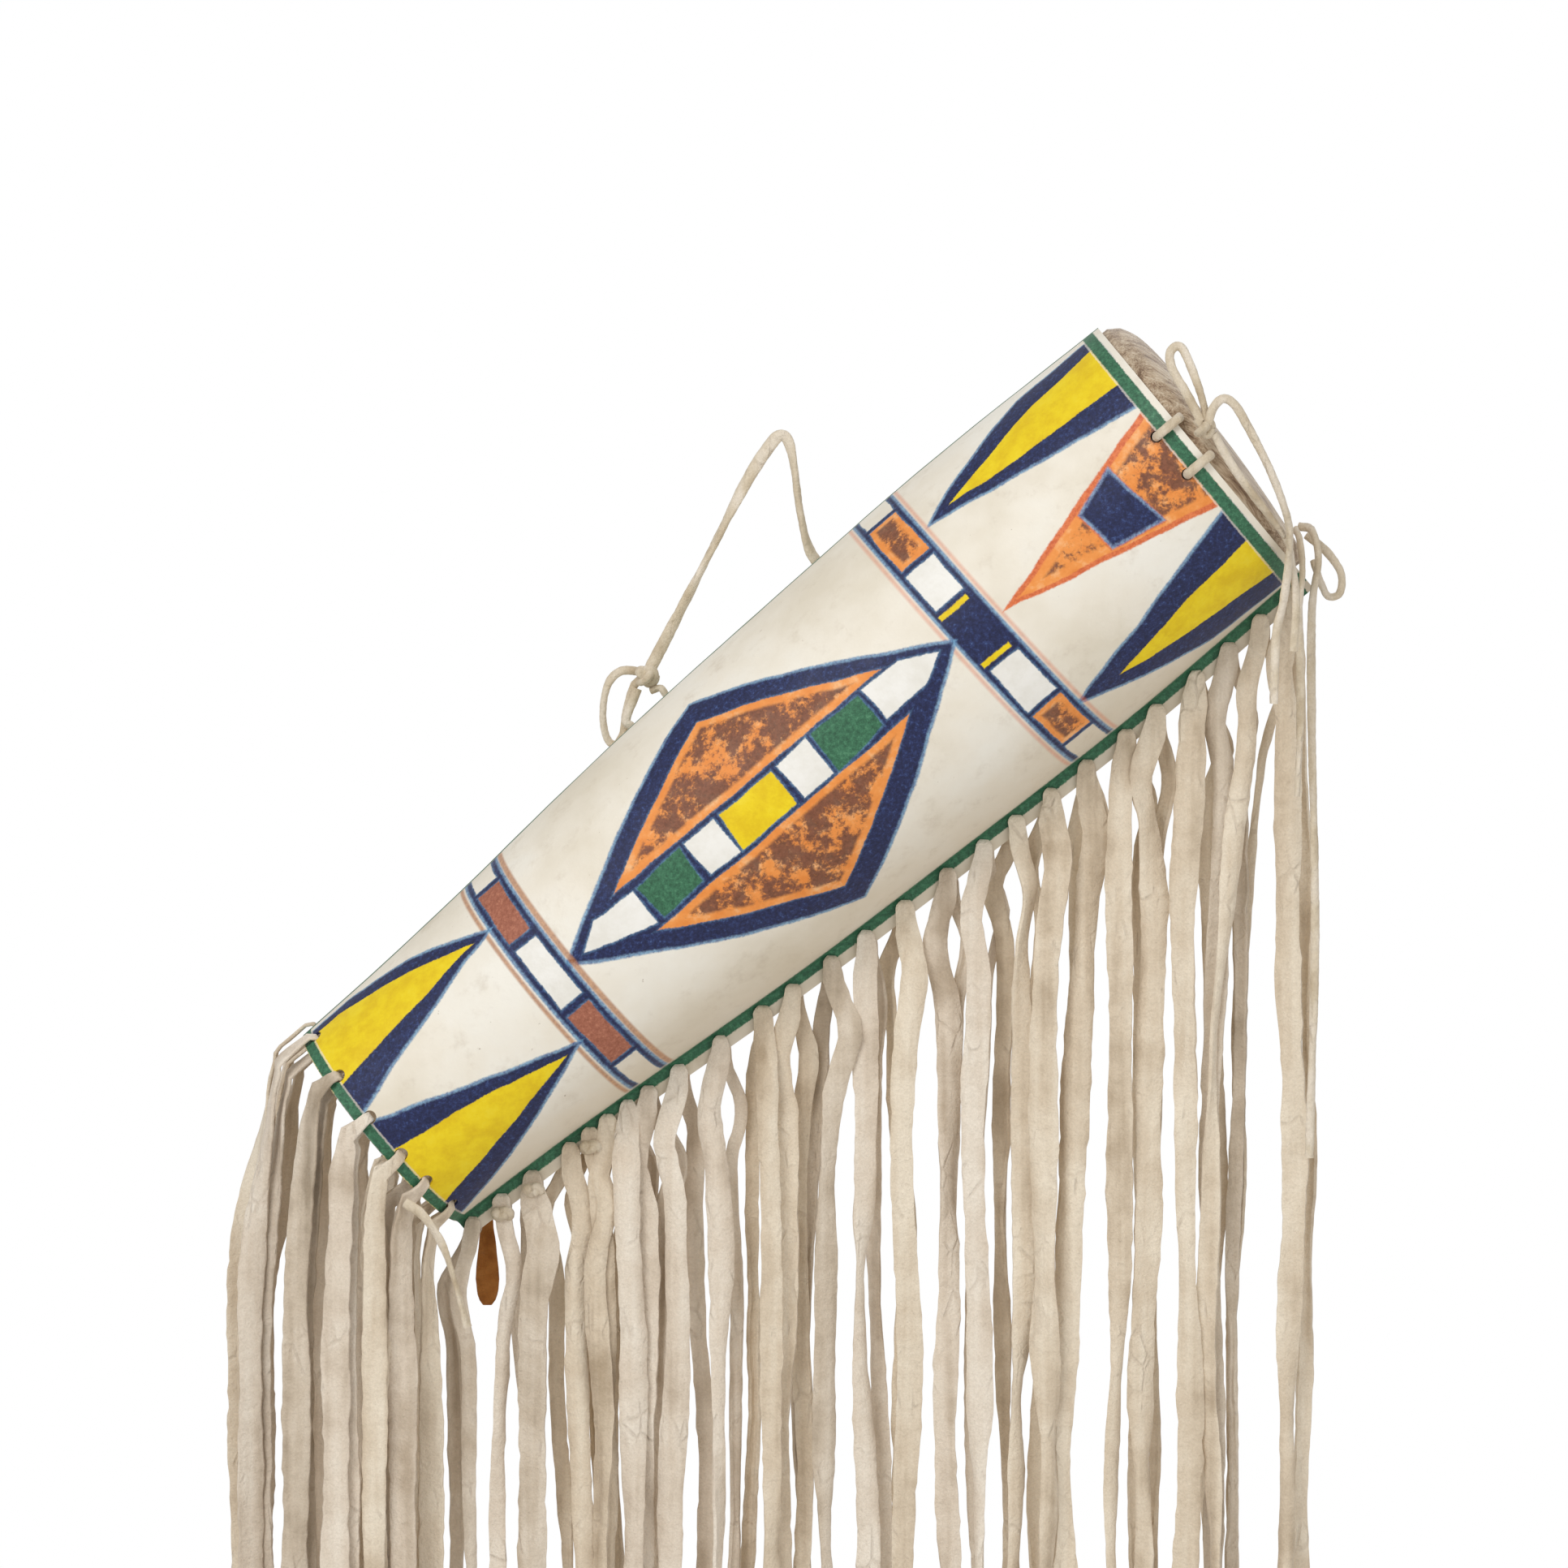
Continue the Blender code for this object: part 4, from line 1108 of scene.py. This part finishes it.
strip_tree, given = making_tree(
    "hide_strip", Columns="Int", Fray="Float", Crinkle="Float", Seed="Float", Material="Material"
)
rows = shown(node(strip_tree, "GeometryNodeAttributeDomainSize", given["Geometry"]), "Point Count")
cloth = node(strip_tree, "GeometryNodeMeshGrid")
cloth.inputs["Size X"].default_value = 2.0
cloth.inputs["Size Y"].default_value = 1.0
strip_tree.links.new(given["Columns"], cloth.inputs["Vertices X"])
strip_tree.links.new(rows, cloth.inputs["Vertices Y"])
spot = node(strip_tree, "ShaderNodeSeparateXYZ", shown(node(strip_tree, "GeometryNodeInputPosition")))
last_row = minus(strip_tree, rows, 1.0)
row = math_node(strip_tree, "ROUND", times(strip_tree, added(strip_tree, spot.outputs["Y"], 0.5), last_row))


def from_line(value):
    """A vector taken from the strip's line at this row."""
    taken = node(strip_tree, "GeometryNodeSampleIndex", data_type="FLOAT_VECTOR", domain="POINT")
    strip_tree.links.new(given["Geometry"], taken.inputs["Geometry"])
    strip_tree.links.new(value, next(s for s in taken.inputs if s.enabled and s.name == "Value"))
    strip_tree.links.new(row, taken.inputs["Index"])
    return shown(taken)


middle = from_line(shown(node(strip_tree, "GeometryNodeInputPosition")))
half_side = from_line(named_vector(strip_tree, "across"))
cup = from_line(named_vector(strip_tree, "cup"))
at_edge = spot.outputs["X"]
edge_seed = times_plus(strip_tree, math_node(strip_tree, "SIGN", at_edge), 7.0, given["Seed"])
jag = remap(strip_tree, noise(strip_tree, middle, 70.0, 3.0, 0.7, edge_seed), 0.2, 0.8, -1.0, 1.0, "LINEAR")
reach = times(strip_tree, at_edge, times_plus(strip_tree, jag, given["Fray"], 1.0))
sideways = vector_node(strip_tree, "SCALE", half_side)
strip_tree.links.new(reach, sideways.node.inputs["Scale"])
cupped = vector_node(strip_tree, "SCALE", cup)
strip_tree.links.new(times(strip_tree, at_edge, at_edge), cupped.node.inputs["Scale"])
laid_out = vector_node(strip_tree, "ADD", middle, vector_node(strip_tree, "ADD", sideways, cupped))
rumple = node(strip_tree, "ShaderNodeTexNoise", noise_dimensions="4D")
strip_tree.links.new(laid_out, rumple.inputs["Vector"])
strip_tree.links.new(given["Seed"], rumple.inputs["W"])
rumple.inputs["Scale"].default_value = 110.0
rumple.inputs["Detail"].default_value = 2.0
rumpled = vector_node(
    strip_tree, "SCALE", vector_node(strip_tree, "SUBTRACT", rumple.outputs["Color"], (0.5, 0.5, 0.5))
)
strip_tree.links.new(given["Crinkle"], rumpled.node.inputs["Scale"])
strip = shown(node(
    strip_tree, "GeometryNodeSetPosition", cloth.outputs[0], None,
    vector_node(strip_tree, "ADD", laid_out, rumpled)
))
end_tree(strip_tree, strip, given["Material"])

strip_hides = [
    softened_hide("buckskin_pale", srgb(245, 234, 218), srgb(230, 215, 196), srgb(196, 178, 156)),
    softened_hide("buckskin_warm", srgb(243, 230, 209), srgb(225, 208, 184), srgb(188, 168, 142)),
    softened_hide("buckskin_grey", srgb(233, 220, 202), srgb(211, 195, 174), srgb(172, 155, 133)),
]


def eased(value):
    value = np.clip(value, 0.0, 1.0)
    return value * value * (3 - 2 * value)


def wander(chance, depth, size, longest):
    """A slow sideways drift down a strand: two waves that start from nothing at its top."""
    drift = np.zeros_like(depth)
    for part in (1.0, 0.45):
        wave = longest * part * chance.uniform(0.8, 1.25)
        phase = chance.uniform(0, 2 * math.pi)
        drift += part * (np.sin(2 * math.pi * depth / wave + phase) - math.sin(phase))
    return size * drift * eased(depth / 0.12)


def hanging_strand(chance, top, lie, width, lane, aside, length):
    """One strand's middle points, half-width vectors and cup vectors, from its top down."""
    depth = np.arange(0.0042, length, 0.0045)
    x = top.x + lie * eased(depth / 0.034) + aside * eased((depth - 0.01) / 0.20) + wander(
        chance, depth, 0.0017, 0.36
    )
    bulge = chance.choice([0.0, 0.0030, 0.0050, 0.0070]) * np.sign(lie)
    x += bulge * np.exp(-((depth - 0.034) / 0.018) ** 2)
    start = abs(lane[0])
    y = top.y + np.sign(lane[1]) * (
        start + (abs(lane[1]) - start) * eased(depth / 0.034)
    ) + wander(chance, depth, 0.0006, 0.30)
    spread = 1.0 + 0.09 * np.sin(
        2 * math.pi * depth / chance.uniform(0.08, 0.20) + chance.uniform(0, 6)
    ) * eased(depth / 0.04)
    turning = chance.uniform(0.1, 0.5) * eased((depth - 0.02) / 0.2)
    turning *= np.sin(2 * math.pi * depth / chance.uniform(0.30, 0.8) + chance.uniform(0, 6))
    for _ in range(3):
        folded = chance.uniform(0.05, length - 0.05)
        bell = np.exp(-((depth - folded) / chance.uniform(0.022, 0.050)) ** 2)
        turning += chance.choice([-1, 1]) * chance.uniform(0.2, 0.95) * bell
        spread -= chance.uniform(0.05, 0.48) * bell
    full = STRIP_TOP + (width - STRIP_TOP) * eased(depth / 0.014)
    across = np.stack([np.cos(turning), np.sin(turning), np.zeros_like(turning)], axis=1)
    cup = chance.uniform(0.0006, 0.0024) * np.sin(
        2 * math.pi * depth / chance.uniform(0.2, 0.6) + chance.uniform(0, 6)
    )
    cup = (cup - 0.0009 * np.sign(lane[1])) * eased(depth / 0.03)
    outwards = np.stack([-np.sin(turning), np.cos(turning), np.zeros_like(turning)], axis=1)
    points = np.stack([x, y, top.z - depth], axis=1)
    return points, across * (full * np.clip(spread, 0.50, 1.3) / 2)[:, None], outwards * cup[:, None]


def strip_piece(name, replaced, points, across, cup, chance):
    made = made_by(
        strip_tree, name, line_mesh(name, points, across=across, cup=cup), thickness=STRIP_THICK * 0.95,
        crease=60,
        rounding=0.00062, Columns=6, Fray=0.21, Crinkle=0.0016, Seed=float(chance.uniform(0, 50)),
        Material=strip_hides[int(chance.choice(3, p=[0.46, 0.34, 0.20]))],
    )
    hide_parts(replaced)
    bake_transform(made)
    return made


seam_stand = HIDE + 2 * GAP + STRIP_THICK / 2 + 0.0003
LANES = (0.0052, 0.0104, 0.0070, 0.0128)
places = [mm / 1000 for mm in SEAM_HOLES_MM]
BIGHT = (
    (1.00, -0.4, 8.6), (1.00, 1.0, 8.0), (0.95, 2.0, 6.6), (0.78, 2.7, 4.4), (0.56, 2.4, 3.9),
    (0.37, 1.6, 3.6), (0.20, 0.9, 3.6)
)
for number, up in enumerate(places, 1):
    chance = np.random.RandomState(100 + number)
    hole = in_case(tube_radius(up) + SEAM_HOLE_OUT, 0.0, up)
    near = min(abs(up - other) for other in places if other != up)
    width = NARROWER.get(number, min(STRIP_WIDTH, near * math.cos(LEAN) + 0.0030))
    width *= chance.choice([0.80, 0.88, 0.95, 1.0])
    shift = TOP_SHIFT.get(number, 0.0)
    lane = LANES[number % 4]
    beside = PARTNER_SIDE.get(number, chance.choice([-1, 1], p=[0.4, 0.6]))
    aside = ASIDE.get(number, 0.0) + chance.uniform(-0.0030, 0.0030)
    front_strand = hanging_strand(
        chance, hole, shift - beside * chance.uniform(0.0004, 0.0030), width * chance.uniform(0.92, 1.08),
        (-seam_stand, -lane),
        aside, STRAND_LENGTH - chance.uniform(0, 0.02),
    )
    back_strand = hanging_strand(
        chance, hole, shift + beside * chance.uniform(0.0016, 0.0074), width * chance.uniform(0.46, 0.84),
        (seam_stand, lane),
        aside + chance.uniform(-0.0045, 0.0045), STRAND_LENGTH - chance.uniform(0, 0.02),
    )
    half = [(-out * seam_stand, rise / 1000, wide / 1000) for out, rise, wide in BIGHT]
    loop = half + [(0.0, 0.0006, 0.0036)] + [(-y, rise, wide) for y, rise, wide in half[::-1]]
    bight = np.array([(0.0, y, rise) for y, rise, _ in loop]) + np.array(hole)
    neck = np.array([(wide / 2, 0.0, 0.0) for _, _, wide in loop])
    points = np.vstack([front_strand[0][::-1], bight, back_strand[0]])
    across = np.vstack([front_strand[1][::-1], neck, back_strand[1]])
    cup = np.vstack([front_strand[2][::-1], np.zeros((len(bight), 3)), back_strand[2]])
    strip_piece(
        f"seam_fringe_{number:02d}", f"seam_strip_{number:02d}", points, across, cup, chance,
    )

# A few strips are tied in an overhand knot just below their hole.
for number, seed in ((2, 71), (3, 72), (5, 73)):
    hole = in_case(tube_radius(places[number - 1]) + SEAM_HOLE_OUT, 0.0, places[number - 1])
    tie_at = hole + Vector((0.0004, -seam_stand - 0.0012, -0.0062))
    strip_knot = knotted(f"strip_knot_{number:02d}", tie_at, (0.0122, 0.0078, 0.0092), 0.0046, seed, lean=1.3)
    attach(strip_knot, "case")

# The foot fringe: the same strips, doubled through the rim holes of the tube and disc, leaving past
# the foot's edge and then hanging, each turned to lie across the one beside it.
RIM_WIDTH = 0.0128
RIM_WIDTHS = (0.0096, 0.0090, 0.0078, 0.0064, 0.0056, 0.0052)
for number, degrees in enumerate(RIM_ANGLES, 1):
    chance = np.random.RandomState(300 + number)
    out = rim_direction(degrees)
    wall = tube_radius(RIM_HOLE_UP)
    outer = wall + STRIP_THICK / 2 + 0.0006
    inner_side = CUP_RADIUS - CUP_HIDE - STRIP_THICK / 2 - 0.0006
    short_run = (-0.0062, -0.0046, -0.0024, 0.0012, 0.0046)
    long_run = (-0.0150, -0.0105, -0.0045, 0.0015, 0.0048)
    run = short_run if -40 < degrees < 70 else long_run
    route = [in_case(*(out * (outer + 0.0010) + Vector((0, 0, up)))) for up in run]
    route.append(in_case(*(out * (wall + 0.0006) + Vector((0, 0, RIM_HOLE_UP - 0.0002)))))
    route.append(in_case(*(out * (CUP_RADIUS - CUP_HIDE / 2) + Vector((0, 0, RIM_HOLE_UP)))))
    run = short_run if -40 < degrees <= 20 else long_run
    route += [in_case(*(out * inner_side + Vector((0, 0, up)))) for up in reversed(run)]
    tangent = Vector((math.cos(math.radians(degrees)), math.sin(math.radians(degrees)), 0.0))
    at_rim = np.array((CASE_FRAME.to_3x3() @ tangent).normalized())
    flat_side = np.array((at_rim[0], at_rim[1], 0.0)) / math.hypot(at_rim[0], at_rim[1])
    facing = np.array((1.0, 0.0, 0.0)) * (1 if flat_side[0] >= -0.05 else -1)
    strands = []
    for end, side in ((route[0], -1), (route[-1], 1)):
        length = STRAND_LENGTH - chance.uniform(0, 0.02)
        depth = np.concatenate([[0.006, 0.012], np.arange(0.020, length, 0.0045)])
        swing = -0.003 * eased(depth / 0.02) - 0.0155 * max(0.0, -out.x) * eased(depth / 0.13)
        x = end.x + swing + chance.uniform(-0.008, 0.008) * depth + wander(chance, depth, 0.0014, 0.40)
        y = end.y + chance.uniform(-0.004, 0.004) * depth + wander(chance, depth, 0.0010, 0.30)
        turning = chance.uniform(0.1, 0.4) * np.sin(
            2 * math.pi * depth / chance.uniform(0.3, 0.8) + chance.uniform(0, 6)
        ) * eased(depth / 0.2)
        toward = eased((depth - 0.01) / 0.10)[:, None]
        flat = flat_side * (1 - toward) + facing * toward
        flat /= np.linalg.norm(flat, axis=1)[:, None]
        rotated = np.stack([
            flat[:, 0] * np.cos(turning) - flat[:, 1] * np.sin(turning),
            flat[:, 0] * np.sin(turning) + flat[:, 1] * np.cos(turning), np.zeros_like(turning),
        ], axis=1)
        full = RIM_WIDTHS[0] + (RIM_WIDTH * chance.uniform(0.88, 1.10) - RIM_WIDTHS[0]) * eased(depth / 0.03)
        full *= 1 + 0.09 * np.sin(2 * math.pi * depth / chance.uniform(0.1, 0.2) + chance.uniform(0, 6))
        cup = chance.uniform(0.0004, 0.0018) * np.sin(
            2 * math.pi * depth / chance.uniform(0.25, 0.6) + chance.uniform(0, 6)
        )
        normal = np.stack([-rotated[:, 1], rotated[:, 0], np.zeros_like(cup)], axis=1)
        strands.append(
            (np.stack([x, y, end.z - depth], axis=1), rotated * (full / 2)[:, None], normal * cup[:, None])
        )
    rough_line = np.vstack([strands[0][0][::-1], [tuple(p) for p in route], strands[1][0]])
    middle_points = smooth_path(rough_line, 0.0040)
    along_rough = np.concatenate([[0], np.cumsum(np.linalg.norm(np.diff(rough_line, axis=0), axis=1))])
    along_fine = np.linspace(0, along_rough[-1], len(middle_points))
    sides = np.vstack(
        [strands[0][1][::-1], np.outer([w / 2 for w in RIM_WIDTHS + RIM_WIDTHS[::-1]], at_rim), strands[1][1]]
    )
    cups = np.vstack([strands[0][2][::-1], np.zeros((len(route), 3)), strands[1][2]])
    across = np.stack([np.interp(along_fine, along_rough, sides[:, k]) for k in range(3)], axis=1)
    cup = np.stack([np.interp(along_fine, along_rough, cups[:, k]) for k in range(3)], axis=1)
    strip_piece(
        f"rim_fringe_{number:02d}", f"rim_strip_{number:02d}", middle_points, across, cup, chance,
    )

# A tab of smoked hide, ochre brown, hanging behind the fringe at the foot of the seam.
smoked = softened_hide(
    "smoked_hide", srgb(196, 132, 66), srgb(172, 108, 46), srgb(126, 74, 30), (60.0, 60.0, 60.0)
)
tab_chance = np.random.RandomState(9)
tab_points = smooth_path(
    [(-0.1448, FRONT + 0.0140, z) for z in (-0.376, -0.392, -0.408, -0.420, -0.427)], 0.0025
)
tab_share = np.linspace(0, 1, len(tab_points))
tab_widths = np.interp(
    tab_share, (0, 0.25, 0.52, 0.74, 0.88, 0.95, 1), (0.0036, 0.0058, 0.0096, 0.0114, 0.0102, 0.0076, 0.0036)
)
tab_across = np.outer(tab_widths / 2, (1, 0, 0))
tab_cup = np.outer(np.full(len(tab_points), 0.0008), (0, 1, 0))
tab = made_by(
    strip_tree, "smoked_tab", line_mesh("smoked_tab", tab_points, across=tab_across, cup=tab_cup),
    thickness=STRIP_THICK, crease=60, rounding=0.0006, Columns=7, Fray=0.08, Crinkle=0.0006, Seed=4.0,
    Material=smoked,
)
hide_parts("smoked_hide_tab")
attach(tab, "case")
